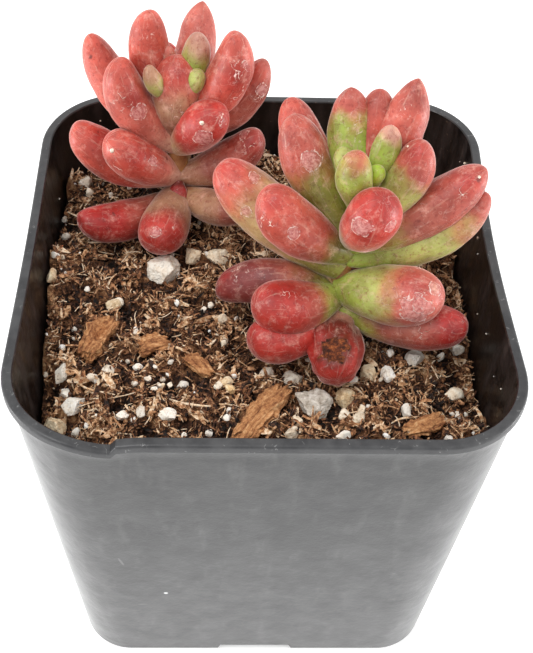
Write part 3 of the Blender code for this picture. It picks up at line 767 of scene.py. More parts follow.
def add_values(mesh, name, values):
    """Store a number, a vector or a colour for each point of a mesh."""
    if isinstance(values[0], float):
        mesh.attributes.new(name, "FLOAT", "POINT").data.foreach_set("value", values)
        return
    kind, part_name = ("FLOAT_VECTOR", "vector") if len(values[0]) == 3 else ("FLOAT_COLOR", "color")
    layer = mesh.attributes.new(name, kind, "POINT")
    layer.data.foreach_set(part_name, [part for item in values for part in item])


def smooth_object(ob, sharp=None):
    """Shade an object smooth, with edges over an angle in degrees kept sharp."""
    ob.data.shade_smooth()
    if sharp is not None:
        ob.data.set_sharp_from_angle(angle=math.radians(sharp))


class Build:
    """Collects the points, faces and point values of one joined mesh."""

    def __init__(self, *names):
        self.points = []
        self.faces = []
        self.slots = []
        self.values = {name: [] for name in names}

    def add(self, points, faces, slot=0, **values):
        """Append a body. Its slot is one number or a list of one for each face, and each value is
        one number or vector for all its points, or a list."""
        first = len(self.points)
        self.points.extend(points)
        self.faces.extend([[first + index for index in face] for face in faces])
        self.slots.extend(slot if isinstance(slot, list) else [slot] * len(faces))
        for name, store in self.values.items():
            value = values[name]
            store.extend(value if isinstance(value, list) else [value] * len(points))

    def finish(self, name, materials, sharp=None):
        """The object, with its values as attributes."""
        mesh = bpy.data.meshes.new(name)
        mesh.from_pydata([tuple(point) for point in self.points], [], self.faces)
        ob = link_mesh(name, mesh, materials)
        mesh.polygons.foreach_set("material_index", self.slots)
        for key, store in self.values.items():
            add_values(mesh, key, store)
        smooth_object(ob, sharp)
        mesh.update()
        return ob


def place_piece(ob, slot, *nodes):
    """Attach a finished piece to the root body and hide the CAD parts that it stands for. The slot is not
    used.
    """
    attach(ob, "root")
    if nodes:
        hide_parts(*nodes)


def ball(subdivisions):
    """Points and faces of a round ball of radius 1 made of triangles."""
    bm = bmesh.new()
    bmesh.ops.create_icosphere(bm, subdivisions=subdivisions, radius=1.0)
    bm.verts.ensure_lookup_table()
    points = [vert.co.copy() for vert in bm.verts]
    faces = [[vert.index for vert in face.verts] for face in bm.faces]
    bm.free()
    return points, faces


def ring_angles(count):
    return [2.0 * math.pi * step / count for step in range(count)]


def quarter(step, steps):
    return 0.5 * math.pi * step / steps


# Pot


def wall_half(z):
    return BASE_HALF + (WALL_TOP_HALF - BASE_HALF) * z / (POT_HEIGHT - LIP_HEIGHT)


def wall_corner(z):
    return BASE_CORNER + (WALL_TOP_CORNER - BASE_CORNER) * z / (POT_HEIGHT - LIP_HEIGHT)


def bowed(point):
    """Press the middles of the pot's left and right sides in a little, more towards the rim."""
    x, y, z = point
    half = wall_half(z)
    depth = RIGHT_SIDE_BOW if x > 0 else -LEFT_SIDE_BOW
    near_side = smooth_step(2.0 * abs(x) / half - 1.0)
    along_side = math.cos(0.5 * math.pi * min(abs(y) / half, 1.0)) ** 2
    return Vector((x - depth * near_side * along_side * (z / POT_HEIGHT) ** 2, y, z))


def kink(x, y, z):
    """How far the lip's kink lets a point of the front wall down."""
    if y > -0.5 * WALL_TOP_HALF:
        return 0.0
    share, spread = (1.0, KINK_REACH) if x < KINK_X else (0.3, 0.5 * KINK_REACH)
    drop = share * math.exp(-(((x - KINK_X) / spread) ** 2))
    return KINK_DROP * drop * smooth_step((z / POT_HEIGHT - 0.9) / 0.1)


def rounded_square(half, corner, z):
    """Points of a level square outline with round corners, anticlockwise from the right side."""
    points = []
    flat = half - corner
    for side in range(4):
        turn = Matrix.Rotation(0.5 * math.pi * side, 3, "Z")
        for step in range(SIDE_STEPS + 1):
            across = flat * (2.0 * step / SIDE_STEPS - 1.0)
            points.append(turn @ Vector((half, across, z)))
        for step in range(1, CORNER_STEPS):
            angle = quarter(step, CORNER_STEPS)
            arc = Vector((flat + corner * math.cos(angle), flat + corner * math.sin(angle), z))
            points.append(turn @ arc)
    result = [bowed(point) for point in points]
    for point in result:
        point.z -= kink(*point)
    return result


def pot_rings():
    """Outlines from the underside, up the outside, over the lip and down inside, with their slots."""
    lip_base = POT_HEIGHT - LIP_HEIGHT
    lip_half = WALL_TOP_HALF + LIP_OVERHANG
    lip_corner = WALL_TOP_CORNER + LIP_OVERHANG
    rows = [(BASE_HALF - FOOT, BASE_CORNER - FOOT, 0.0, OUTSIDE)]
    for step in range(WALL_RINGS + 1):
        z = FOOT + (lip_base - FOOT) * step / WALL_RINGS
        rows.append((wall_half(z), wall_corner(z), z, OUTSIDE))
    for step in range(1, LIP_ARC_STEPS + 1):
        angle = quarter(step, LIP_ARC_STEPS)
        out = LIP_OVERHANG * (1.0 - math.cos(angle))
        up = 0.5 * LIP_OVERHANG * math.sin(angle)
        rows.append((WALL_TOP_HALF + out, WALL_TOP_CORNER + out, lip_base + up, LIP))
    for step in range(LIP_ARC_STEPS + 1):
        angle = quarter(step, LIP_ARC_STEPS)
        inset = LIP_ROUNDING * (1.0 - math.cos(angle))
        z = POT_HEIGHT - LIP_ROUNDING * (1.0 - math.sin(angle))
        rows.append((lip_half - inset, lip_corner - inset, z, LIP))
    inner_half = wall_half(POT_HEIGHT) - WALL
    inner_corner = wall_corner(POT_HEIGHT) - WALL
    rows.append((inner_half + LIP_SOFTNESS, inner_corner + LIP_SOFTNESS, POT_HEIGHT, LIP))
    rows.append((inner_half, inner_corner, POT_HEIGHT - LIP_SOFTNESS, INSIDE))
    for step in range(WALL_RINGS - 1, -1, -1):
        z = FLOOR_TOP + (POT_HEIGHT - FLOOR_TOP) * step / WALL_RINGS
        rows.append((wall_half(z) - WALL, wall_corner(z) - WALL, z, INSIDE))
    return [(rounded_square(half, corner, z), slot) for half, corner, z, slot in rows]


def channel_cutter(turn):
    """A bar with sloped sides that cuts one arm of the cross under the base."""
    bm = bmesh.new()
    bmesh.ops.create_cube(bm, size=1.0)
    for vert in bm.verts:
        slope = CHANNEL_SLOPE if vert.co.z > 0 else 0.0
        vert.co.x *= 3.0 * BASE_HALF
        vert.co.y *= CHANNEL_WIDTH - 2.0 * slope
        vert.co.z = CHANNEL_DEPTH if vert.co.z > 0 else -CHANNEL_DEPTH
    cutter = mesh_object("channel_cutter", bm)
    cutter.rotation_euler.z = turn
    return cutter


def drain_cutter(x, y):
    bm = bmesh.new()
    radius, depth = DRAIN_RADIUS, 4.0 * FLOOR_TOP
    bmesh.ops.create_cone(
        bm, cap_ends=True, segments=DRAIN_SIDES, radius1=radius, radius2=radius, depth=depth
    )
    cutter = mesh_object("drain_cutter", bm)
    cutter.location = (x, y, 0.0)
    return cutter


def cut(ob, cutters):
    """Cut other objects from an object and remove them."""
    for cutter in cutters:
        boolean = ob.modifiers.new("cut", "BOOLEAN")
        boolean.operation = "DIFFERENCE"
        boolean.object = cutter
        boolean.solver = "EXACT"
    bpy.context.view_layer.update()
    depsgraph = bpy.context.evaluated_depsgraph_get()
    mesh = bpy.data.meshes.new_from_object(ob.evaluated_get(depsgraph))
    ob.modifiers.clear()
    ob.data = mesh
    for cutter in cutters:
        bpy.data.objects.remove(cutter, do_unlink=True)


def make_pot():
    rings = pot_rings()
    bm = bmesh.new()
    rows = [[bm.verts.new(point) for point in ring] for ring, slot in rings]
    count = len(rows[0])
    for below, above, (ring, slot) in zip(rows, rows[1:], rings[1:]):
        for i in range(count):
            j = (i + 1) % count
            face = bm.faces.new((below[i], below[j], above[j], above[i]))
            face.material_index = slot
    bm.faces.new(list(reversed(rows[0])))
    floor = bm.faces.new(rows[-1])
    floor.material_index = INSIDE
    bmesh.ops.recalc_face_normals(bm, faces=bm.faces[:])
    materials = (pot_outside_material(), pot_lip_material(), pot_inside_material())
    pot = mesh_object("nursery_pot", bm, materials)
    cutters = [channel_cutter(0.0), channel_cutter(0.5 * math.pi), drain_cutter(0.0, 0.0)]
    for angle in ring_angles(4):
        cutters.append(drain_cutter(DRAIN_SPACING * math.cos(angle), DRAIN_SPACING * math.sin(angle)))
    cut(pot, cutters)
    smooth_object(pot, POT_SHARP_DEGREES)
    place_piece(pot, "pot_plastic", "pot")


# Soil


def reach(angle, half, corner):
    """How far a rounded square's edge lies from its middle in a direction."""
    cosine = abs(math.cos(angle))
    sine = abs(math.sin(angle))
    flat = half - corner
    if min(cosine, sine) * half <= flat * max(cosine, sine):
        return half / max(cosine, sine)
    towards = flat * (cosine + sine)
    return towards + math.sqrt(towards**2 - 2.0 * flat**2 + corner**2)


def room_inside(angle, z, inset):
    """How far the pot's wall, less an inset, lies from its middle in a direction."""
    return reach(angle, wall_half(z) - inset, wall_corner(z) - inset)


def soil_height(x, y):
    """The CAD soil's surface: a level with swells and dips, and a crumbly relief."""
    z = SOIL_LEVEL
    for swell_x, swell_y, spread, height in SOIL_SWELLS:
        distance = math.hypot(x - swell_x * MM, y - swell_y * MM) / (spread * MM)
        z += height * MM * math.exp(-(distance**2))
    z += COARSE_RELIEF * noise.noise(Vector((x, y, 0.0)) / COARSE_GRAIN)
    z += FINE_RELIEF * noise.noise(Vector((x, y, 1.0)) / FINE_GRAIN)
    return z


def soil_point(u, v, z):
    """Where a point of a square from -1 to 1 lies on the soil's level section at a height."""
    angle = math.atan2(v, u)
    share = room_inside(angle, z, WALL + CLEARANCE)
    stretch = share * max(abs(math.cos(angle)), abs(math.sin(angle)))
    return bowed((u * stretch, v * stretch, z))


def clump(x, y):
    """How much the coir heaps up into clumps at a place, from about -1 to 1."""
    coarse = noise.noise(Vector((x, y, 3.0 * MM)) / CLUMP_SIZE)
    fine = noise.noise(Vector((x, y, 7.0 * MM)) / (0.45 * CLUMP_SIZE))
    return 1.5 * coarse + 0.7 * fine


def make_soil_bed():
    """The dark bed: the CAD soil's form with finer and deeper relief, closed below."""
    bm = bmesh.new()
    bmesh.ops.create_grid(bm, x_segments=SOIL_CELLS, y_segments=SOIL_CELLS, size=1.0)
    rim = [edge for edge in bm.edges if edge.is_boundary]
    skirt = bmesh.ops.extrude_edge_only(bm, edges=rim)["geom"]
    lower = {item for item in skirt if isinstance(item, bmesh.types.BMVert)}
    edges = [item for item in skirt if isinstance(item, bmesh.types.BMEdge)]
    bmesh.ops.contextual_create(bm, geom=edges)
    heaps = []
    for vert in bm.verts:
        u, v = vert.co.x, vert.co.y
        if vert in lower:
            vert.co = soil_point(u, v, FLOOR_TOP + CLEARANCE)
            heaps.append(-1.0)
            continue
        level = soil_point(u, v, SOIL_LEVEL)
        heap = clump(level.x, level.y)
        grit = noise.fractal(level / GRIT_SIZE, 1.0, 2.0, 3)
        z = soil_height(level.x, level.y) - BED_DEPTH + CLUMP_RELIEF * heap + GRIT_RELIEF * grit
        vert.co = soil_point(u, v, z)
        # How much the bed heaps up here, which its material turns into painted shade.
        heaps.append(min(max(0.7 * heap + 0.5 * grit, -1.0), 1.0))
    bmesh.ops.recalc_face_normals(bm, faces=bm.faces[:])
    bed = mesh_object("soil_bed", bm, [bed_material()])
    add_values(bed.data, "heap", heaps)
    smooth_object(bed)
    place_piece(bed, "soil", "soil")


def soil_spots(rng, count, wanted):
    """Random places on the soil, more of them where it clumps."""
    found = 0
    while found < count:
        u = rng.uniform(-SOIL_EDGE, SOIL_EDGE)
        v = rng.uniform(-SOIL_EDGE, SOIL_EDGE)
        place = soil_point(u, v, SOIL_LEVEL)
        heap = clump(place.x, place.y)
        if heap + rng.uniform(-0.6, 0.6) > wanted:
            found += 1
            z = soil_height(place.x, place.y) + CLUMP_RELIEF * heap
            yield Vector((place.x, place.y, z)), heap


def inside_wall(points):
    """Whether points are all clear of the pot's wall."""
    for point in points:
        room = room_inside(math.atan2(point.y, point.x), point.z, WALL + WALL_GAP)
        if math.hypot(point.x, point.y) >= room - RIGHT_SIDE_BOW * 0.5:
            return False
    return True


def random_turn(rng, tilt):
    """A turn about the upright, leaning by up to a tilt in degrees."""
    upright = Matrix.Rotation(rng.uniform(0.0, 2.0 * math.pi), 3, "Z")
    lean = Matrix.Rotation(math.radians(rng.uniform(-tilt, tilt)), 3, "X")
    nod = Matrix.Rotation(math.radians(rng.uniform(-tilt, tilt)), 3, "Y")
    return upright @ lean @ nod


def lump_clear(point):
    """Whether a point is clear, seen from above, of every bedded lump and stem."""
    for x, y, length, width, height, turn in (*BARK_CHIPS, *PERLITE):
        angle = math.radians(turn)
        across, ahead = point.x - x * MM, point.y - y * MM
        along = across * math.cos(angle) + ahead * math.sin(angle)
        aside = ahead * math.cos(angle) - across * math.sin(angle)
        along /= 0.5 * length * MM + LUMP_GAP
        aside /= 0.5 * width * MM + LUMP_GAP
        if along**2 + aside**2 < 1.0:
            return False
    for stem, radius in ((LEFT_STEM, LEFT_STEM_RADIUS), (RIGHT_STEM, RIGHT_STEM_RADIUS)):
        foot = Vector(stem[1]) * MM
        if math.hypot(point.x - foot.x, point.y - foot.y) < radius + LUMP_GAP:
            return False
    return True


def strip_faces(sections, sides):
    """Faces of a closed strip or tube through sections of like points."""
    faces = []
    for low in range(0, (sections - 1) * sides, sides):
        high = low + sides
        for side in range(sides):
            other = (side + 1) % sides
            faces.append((low + side, low + other, high + other, high + side))
    faces.append(tuple(reversed(range(sides))))
    faces.append(tuple(range((sections - 1) * sides, sections * sides)))
    return faces


def flake(rng, heap, longest, darkest):
    """A curled and twisted strip with ragged ends. Like the other loose pieces, it comes with how
    far it may lean in degrees, how high it lies and how light it is."""
    length = longest * rng.uniform(0.3, 1.0) ** 1.6 * MM
    width = length * rng.uniform(0.14, 0.4)
    curl = rng.uniform(-2.2, 2.2) / length
    twist = rng.uniform(-1.5, 1.5)
    points = []
    for index in range(FLAKE_SECTIONS):
        share = index / (FLAKE_SECTIONS - 1)
        along = (share - 0.5) * length
        breadth = width * (0.35 + 0.65 * math.sin(math.pi * (0.15 + 0.7 * share)))
        breadth *= rng.uniform(0.65, 1.15)
        middle = Vector((along, 0.0, 0.5 * along * (curl * along)))
        turn = Matrix.Rotation(twist * (share - 0.5), 3, "X")
        for across, up in ((-0.5, 0.0), (0.0, 0.5), (0.5, 0.0), (0.0, -0.5)):
            sway = Vector((rng.uniform(-0.06, 0.06) * length, across * breadth, up * FLAKE_THICKNESS))
            cup = Vector((0.0, 0.0, abs(across) * breadth * 0.25))
            points.append(middle + turn @ (sway + cup))
    lift = rng.uniform(-0.7, 0.35) * MM
    # Painted shade: a flake is darker the lower it lies and in the hollows between clumps.
    shade = rng.uniform(darkest, 1.0) * smooth_step(0.6 + heap * 0.55 + 0.8 * lift / MM)
    return points, FLAKE_TILT, lift, shade


def shred(rng, heap):
    """A short twisted shred, which gives the coir its crumbly grain."""
    length = rng.uniform(0.5, 1.7) * MM
    thick = rng.uniform(0.07, 0.2) * MM
    curl = rng.uniform(-2.4, 2.4) / length
    points = []
    for index in range(SHRED_SECTIONS):
        along = (index / (SHRED_SECTIONS - 1) - 0.5) * length
        middle = Vector((along, rng.uniform(-0.08, 0.08) * length, 0.5 * curl * along * along))
        for angle in ring_angles(3):
            angle += index * 0.9
            out = thick * rng.uniform(0.6, 1.3)
            points.append(middle + Vector((0.0, out * math.cos(angle), 0.6 * out * math.sin(angle))))
    lift = rng.uniform(-0.5, 0.4) * MM
    # Painted shade: a shred is darker the lower it lies and in the hollows between clumps.
    shade = rng.uniform(0.15, 1.0) * smooth_step(0.6 + heap * 0.5 + lift / MM)
    return points, SHRED_TILT, lift, shade


def fibre(rng, heap):
    """A thin coir thread, straight or curled, and now and then a long one that lies flatter."""
    long_one = rng.random() < LONG_FIBRE_SHARE
    length = (rng.uniform(3.5, 7.0) if long_one else rng.uniform(1.0, 3.2)) * MM
    radius = (rng.uniform(0.11, 0.2) if long_one else rng.uniform(0.05, 0.12)) * MM
    bend = rng.uniform(-1.3, 1.3) * (0.5 if long_one else 1.0)
    heading = Vector((1.0, 0.0, 0.0))
    spine = [Vector((-0.5 * length, 0.0, 0.0))]
    for index in range(FIBRE_SECTIONS - 1):
        turn = Matrix.Rotation(bend / FIBRE_SECTIONS + rng.uniform(-0.22, 0.22), 3, "Z")
        heading = turn @ heading
        spine.append(spine[-1] + heading * (length / (FIBRE_SECTIONS - 1)))
    middle = sum(spine, Vector()) / FIBRE_SECTIONS
    points = []
    for index, step in enumerate(spine):
        taper = 0.35 + 0.65 * math.sin(math.pi * (0.1 + 0.8 * index / (FIBRE_SECTIONS - 1)))
        for angle in ring_angles(3):
            ring = Vector((0.0, math.cos(angle), math.sin(angle))) * radius * taper
            points.append(step - middle + ring)
    lift = rng.uniform(-0.3, 0.5) * MM
    tilt = LONG_FIBRE_TILT if long_one else FIBRE_TILT
    return points, tilt, lift, rng.uniform(0.25, 1.0)


def crumb(rng, heap, sphere):
    """A small crumb between the fibres."""
    size = rng.uniform(0.3, 1.1) * MM
    stretch = Vector((rng.uniform(0.6, 1.5), rng.uniform(0.5, 1.1), rng.uniform(0.5, 1.0)))
    points = []
    for point in sphere:
        out = 0.5 * size * rng.uniform(0.55, 1.2)
        points.append(Vector([a * b * out for a, b in zip(point, stretch)]))
    return points, ANY_TILT, rng.uniform(-0.7, 0.1) * MM, rng.uniform(0.0, 0.75)


def strew(name, material, seed, count, wanted, faces, sharp, draw, *shape):
    """Lay loose pieces on the soil at random, clear of the wall and the lumps. They lie where the
    coir heaps up more than wanted, and a function draws each one's points."""
    rng = random.Random(seed)
    build = Build("shade")
    for place, heap in soil_spots(rng, count, wanted):
        points, tilt, lift, shade = draw(rng, heap, *shape)
        turn = random_turn(rng, tilt)
        centre = place + Vector((0.0, 0.0, lift))
        placed = [centre + turn @ point for point in points]
        if inside_wall(placed) and lump_clear(centre):
            build.add(placed, faces, shade=shade)
    place_piece(build.finish(name, [material], sharp), "soil")


def make_coir():
    """The loose coir: flakes, shreds, fibres and crumbs, some light and some dark."""
    light = coir_material("coir_light", LIGHT_COIR_SHADES)
    dark = coir_material("coir_dark", DARK_COIR_SHADES)
    strip = strip_faces(FLAKE_SECTIONS, 4)
    sharp = COIR_SHARP_DEGREES
    strew("coir_flakes_a", light, 3, FLAKE_COUNT, -0.3, strip, sharp, flake, 2.9, 0.25)
    strew("coir_flakes_b", dark, 4, FLAKE_COUNT, -0.9, strip, sharp, flake, 2.2, 0.1)
    strew("coir_shreds", light, 8, SHRED_COUNT, -0.8, strip_faces(SHRED_SECTIONS, 3), sharp, shred)
    strew("coir_fibres", light, 5, FIBRE_COUNT, -0.7, strip_faces(FIBRE_SECTIONS, 3), None, fibre)
    sphere, faces = ball(2)
    strew("coir_crumbs", dark, 6, CRUMB_COUNT, -0.9, faces, CRUMB_SHARP_DEGREES, crumb, sphere)


def knobbly(point, seed, coarse, fine):
    """How far out a lump's point moves, as a share: broad knobs, pits and grit."""
    away = Vector((seed * 7.3, seed * 3.1, seed * 1.7))
    broad = noise.noise(point * 1.1 + away)
    middle = noise.noise(point * 2.6 + away)
    grit = noise.noise(point * 6.0 + away)
    return 1.0 + coarse * (broad + 0.5 * middle) + fine * grit


def facets(seed):
    """Random flat sides of a broken grain: directions and how far out each side lies."""
    rng = random.Random(seed)
    sides = []
    while len(sides) < GRAIN_FACETS:
        away = Vector([rng.uniform(-1.0, 1.0) for axis in range(3)])
        if 0.2 < away.length < 1.0:
            sides.append((away.normalized(), rng.uniform(0.62, 0.92)))
    return sides


def chunk(point, sides, seed):
    """How far out a point of a broken grain lies, as a share: flat sides with worn edges and pits."""
    out = 1.06
    for away, height in sides:
        lean = point.dot(away)
        if lean > 0.1:
            out = min(out, height / lean)
    return out * knobbly(point, seed, 0.1, 0.07)


def grain_points(seed, half, subdivisions, centre, turn, stretch=GRIT_STRETCH):
    """Points and faces of a broken grain in its place."""
    sphere, faces = ball(subdivisions)
    sides = facets(seed)
    placed = []
    for point in sphere:
        out = half * chunk(point, sides, seed)
        placed.append(centre + turn @ Vector([a * b * out for a, b in zip(point, stretch)]))
    return placed, faces


def make_grains(material):
    """Grains: the larger ones in their places and small grit anywhere, some of it on the walls."""
    rng = random.Random(7)
    build = Build("tan", "grey")
    for index, (x, y, size, tan) in enumerate(WHITE_GRAINS):
        x, y, half = x * MM, y * MM, GRAIN_HALF * size * MM
        z = soil_height(x, y) + CLUMP_RELIEF * max(clump(x, y), -0.2) + 0.3 * half
        turn = random_turn(rng, ANY_TILT)
        stretch = (rng.uniform(0.95, 1.3), rng.uniform(0.75, 1.0), rng.uniform(0.7, 0.95))
        detail = 4 if size > 1.2 else 3
        points, faces = grain_points(index, half, detail, Vector((x, y, z)), turn, stretch)
        build.add(points, faces, tan=0.15 + 0.85 * tan, grey=rng.choice((0.0, 0.0, 0.0, 0.3)))
    for index, (place, heap) in enumerate(soil_spots(rng, GRIT_COUNT, -1.2)):
        half = 0.5 * rng.uniform(0.3, 0.9) * MM
        centre = place + Vector((0.0, 0.0, 0.2 * MM))
        points, faces = grain_points(GRIT_SEED + index, half, 2, centre, random_turn(rng, ANY_TILT))
        if inside_wall(points):
            tan = rng.choice((0.0, 0.1, 0.3, 0.7))
            build.add(points, faces, tan=tan, grey=rng.choice((0.0, 0.0, 0.4)))
    for index in range(WALL_GRIT_COUNT):
        angle = math.radians(rng.choice((rng.gauss(20, 22), rng.gauss(-25, 14), rng.gauss(165, 25))))
        z = rng.triangular(57.0, 64.5, 58.0) * MM
        half = 0.5 * rng.triangular(0.15, 0.55, 0.2) * MM
        out = room_inside(angle, z, WALL)
        inward = -Vector((math.cos(angle), math.sin(angle), 0.0))
        centre = bowed((out * math.cos(angle), out * math.sin(angle), z)) + inward * half * 0.5
        points, faces = grain_points(WALL_GRIT_SEED + index, half, 2, centre, random_turn(rng, ANY_TILT))
        build.add(points, faces, tan=rng.uniform(0.0, 0.6), grey=0.2)
    place_piece(build.finish("white_grains", [material], GRAIN_SHARP_DEGREES), "perlite")


def bedded(x, y, height):
    """Where the middle of a bedded lump lies, as in the CAD model."""
    x, y = x * MM, y * MM
    return Vector((x, y, soil_height(x, y) + (0.5 - LUMP_SINK) * height * MM))


def make_perlite(material):
    """The larger lumps, each where its CAD solid is."""
    for index, (x, y, length, width, height, turn) in enumerate(PERLITE):
        spin = Matrix.Rotation(math.radians(turn), 3, "Z")
        stretch = (length, width, height)
        seed, half = LUMP_SEED + index, GRAIN_HALF * MM
        points, faces = grain_points(seed, half, 5, bedded(x, y, height), spin, stretch)
        build = Build("tan", "grey")
        build.add(points, faces, tan=PERLITE_TAN[index], grey=PERLITE_GREY[index])
        lump = build.finish(f"perlite_lump_{index + 1:02d}", [material], GRAIN_SHARP_DEGREES)
        place_piece(lump, "perlite", f"perlite_{index + 1:02d}")


def chip_point(index, spot, length, width, height):
    """A place on an arched and ragged chip, in millimetres from its middle, for a place on a cube,
    and the same place before it was made ragged, which its grain follows."""
    along = 2.0 * spot.x
    cross = Vector((0.0, 2.0 * spot.y, 2.0 * spot.z))
    cross *= 0.4 + 0.6 * max(abs(cross.y), abs(cross.z)) / max(cross.length, 0.001)
    narrowing = 1.0 - 0.3 * abs(along) ** 3
    thick = 0.55 if cross.z > 0 else 0.75
    away = Vector((index * 5.0, 0.0, 0.0))
    end = noise.noise(Vector((0.0, cross.y * 2.2, cross.z * 2.0)) + away) * 0.3
    point = Vector((
        0.5 * length * along * (0.9 + end),
        0.5 * width * (cross.y * narrowing * 0.92 + 0.16 * math.sin(2.5 * along + index)),
        height * (0.5 * cross.z * thick + 0.2 * (1.0 - along**2)),
    ))
    layers = noise.noise(Vector((point.x * 0.35, point.y * 1.9, point.z * 2.8)) + away)
    crumbs = noise.fractal(point * 1.5 + away, 0.8, 2.0, 5)
    ragged = 1.0 + 0.3 * layers + 0.24 * crumbs
    if index == CURLED_CHIP:
        hollow = math.exp(-((along - 0.25) / 0.5) ** 2 - ((cross.y + 0.25) / 0.55) ** 2)
        point.z -= 0.75 * height * hollow * smooth_step(cross.z)
    return Vector((point.x, point.y * ragged, point.z * ragged)), point


def make_bark(material):
    """The bark chips: blocks of layered bark, each where its CAD solid is."""
    for index, (x, y, length, width, height, turn) in enumerate(BARK_CHIPS):
        spin = Matrix.Rotation(math.radians(turn), 4, "Z")
        place = Matrix.Translation(bedded(x, y, height)) @ spin
        bm = bmesh.new()
        bmesh.ops.create_cube(bm, size=1.0)
        bmesh.ops.subdivide_edges(bm, edges=bm.edges[:], cuts=CHIP_CUTS, use_grid_fill=True)
        grains = []
        for vert in bm.verts:
            ragged, even = chip_point(index, vert.co, length, width, height)
            grains.append((even.x, even.y + index * 9.0, even.z))
            vert.co = place @ (ragged * MM)
        bmesh.ops.recalc_face_normals(bm, faces=bm.faces[:])
        chip = mesh_object(f"bark_piece_{index + 1:02d}", bm, [material])
        add_values(chip.data, "grain", grains)
        smooth_object(chip)
        place_piece(chip, "bark", f"bark_chip_{index + 1:02d}")


# Plants


def leaf_profile(along, pointed):
    """A leaf's radius along its length, as a share of the widest: narrow neck, blunt tip."""
    if along < LEAF_WIDEST:
        return LEAF_NECK + (1.0 - LEAF_NECK) * math.sin(0.5 * math.pi * along / LEAF_WIDEST)
    beyond = (along - LEAF_WIDEST) / (1.0 - LEAF_WIDEST)
    return max(1.0 - beyond**TIP_FULLNESS, 0.0) ** pointed


def stem_point(stem, height):
    """The middle of a stem at a height in millimetres."""
    for low, high in zip(stem, stem[1:]):
        if height <= high[2]:
            share = (height - low[2]) / (high[2] - low[2])
            return Vector(low).lerp(Vector(high), share) * MM
    return Vector(stem[-1]) * MM


def far_side_leaves(turn):
    """Leaves of the stem's spiral, from a first turn, that grow on its far side."""
    rows = []
    for height in FAR_LEAF_HEIGHTS:
        while abs((turn - FAR_SIDE_TURN + 180.0) % 360.0 - 180.0) > FAR_SIDE_REACH:
            turn += GOLDEN_ANGLE
        rise = FAR_LEAF_LOWEST_RISE + FAR_LEAF_RISE_PER_MM * (height - FAR_LEAF_HEIGHTS[0])
        rows.append((height, turn, rise, FAR_LEAF_LENGTH, FAR_LEAF_WIDTH, 0.06, 0.5, *FAR_LEAF_LOOK))
        turn += GOLDEN_ANGLE
    return rows


class Leaf:
    """A fleshy leaf drawn out from its base along a line that curves up a little."""

    def __init__(self, base, turn, rise, length, width, sag, pointed, seed):
        turn, rise = math.radians(turn), math.radians(rise)
        level = math.cos(rise)
        self.base = base
        self.ahead = Vector((math.cos(turn) * level, math.sin(turn) * level, math.sin(rise)))
        self.side = Vector((math.sin(turn), -math.cos(turn), 0.0))
        self.above = self.side.cross(self.ahead)
        self.length = length * LEAF_SHRINK * MM
        self.width = width * MM
        self.sag = sag
        self.pointed = pointed
        self.seed = seed
        self.wilted = False

    def outward(self, around):
        return self.side * math.cos(around) + self.above * (LEAF_THICKNESS * math.sin(around))

    def point(self, along, around):
        """A place on the skin, with the soft unevenness of a grown leaf."""
        radius = 0.5 * self.width * leaf_profile(along, self.pointed)
        out = self.outward(around)
        drop = 4.0 * self.sag * self.length * along * (1.0 - along)
        spine = self.base + self.ahead * (self.length * along) - self.above * drop
        skin = spine + out * radius
        away = Vector((self.seed * 3.7, 0.0, 0.0))
        swell = noise.noise(skin / SWELL_SIZE + away)
        dimple = noise.noise(skin / DIMPLE_SIZE + away)
        uneven = SWELL * swell - SKIN_INSET + DIMPLE * dimple
        if self.wilted:
            across, up = math.cos(around) * 2.2, math.sin(around) * 2.2
            fold = abs(noise.noise(Vector((along * 2.4, across, up + self.seed))))
            uneven -= MM * (0.55 - 1.6 * fold)
        return skin + out * min(uneven, radius) * math.sin(math.pi * min(max(along, 0.0), 1.0)) ** 0.5


def leaf_tint(look, along, skin):
    """The leaf's own colour at a place: base, middle and tip blended unevenly."""
    base, middle, tip, start, full = look
    wander = 0.12 * noise.noise(skin / (2.6 * MM)) + 0.05 * noise.noise(skin / (0.9 * MM))
    place = along + wander
    colour = blend(base, middle, smooth_step((place - 0.12) / 0.3))
    return blend(colour, tip, smooth_step((place - start) / (full - start)))


def marked(skin, tint, spots):
    """What marks do to a place on a leaf: its colour, values for the material, lift and scab."""
    scar, scuff, dark, lift, scab = NO_MARK, 0.0, NO_MARK, 0.0, False
    for kind, centre, size in spots:
        distance = (skin - centre).length
        uneven = 1.0 + 0.45 * noise.noise(skin / (0.9 * MM) + Vector((size / MM, 0.0, 0.0)))
        if kind == "ring":
            scar = min(scar, (distance - size * uneven) / MM)
        elif kind == "scuff":
            # Where scuff lines show: partly scratches, partly painted glints.
            scuff = max(scuff, smooth_step(1.4 - distance / size))
        elif kind == "spot":
            dark = min(dark, (distance - size) / MM)
        elif kind == "flush":
            share = 0.75 * math.exp(-((distance / size) ** 2))
            tint = blend(tint, linear(LEAF_COLOURS["deep_red"]), share)
        elif kind == "wart":
            share = math.exp(-((distance / (0.7 * size)) ** 2))
            tint = blend(tint, linear(WART_COLOUR), share)
            lift += 0.3 * MM * share
        elif kind == "crust":
            grit = noise.noise(skin / (0.7 * MM))
            share = smooth_step(1.6 - distance / size + 0.6 * grit)
            tint = blend(tint, linear(CRUST_COLOUR), 0.9 * share)
            lift += 0.5 * MM * grit * share
            scab = share > 0.62
    return tint, scar, scuff, dark, lift, scab


def leaf_faces():
    """Faces of a leaf's skin: rings between its base point and its tip point."""
    faces = []
    top = 1 + (LEAF_RINGS - 2) * LEAF_SIDES
    for step in range(LEAF_SIDES):
        other = (step + 1) % LEAF_SIDES
        faces.append((0, 1 + other, 1 + step))
        for low in range(1, top, LEAF_SIDES):
            high = low + LEAF_SIDES
            faces.append((low + step, low + other, high + other, high + step))
        faces.append((top + step, top + other, top + LEAF_SIDES))
    return faces


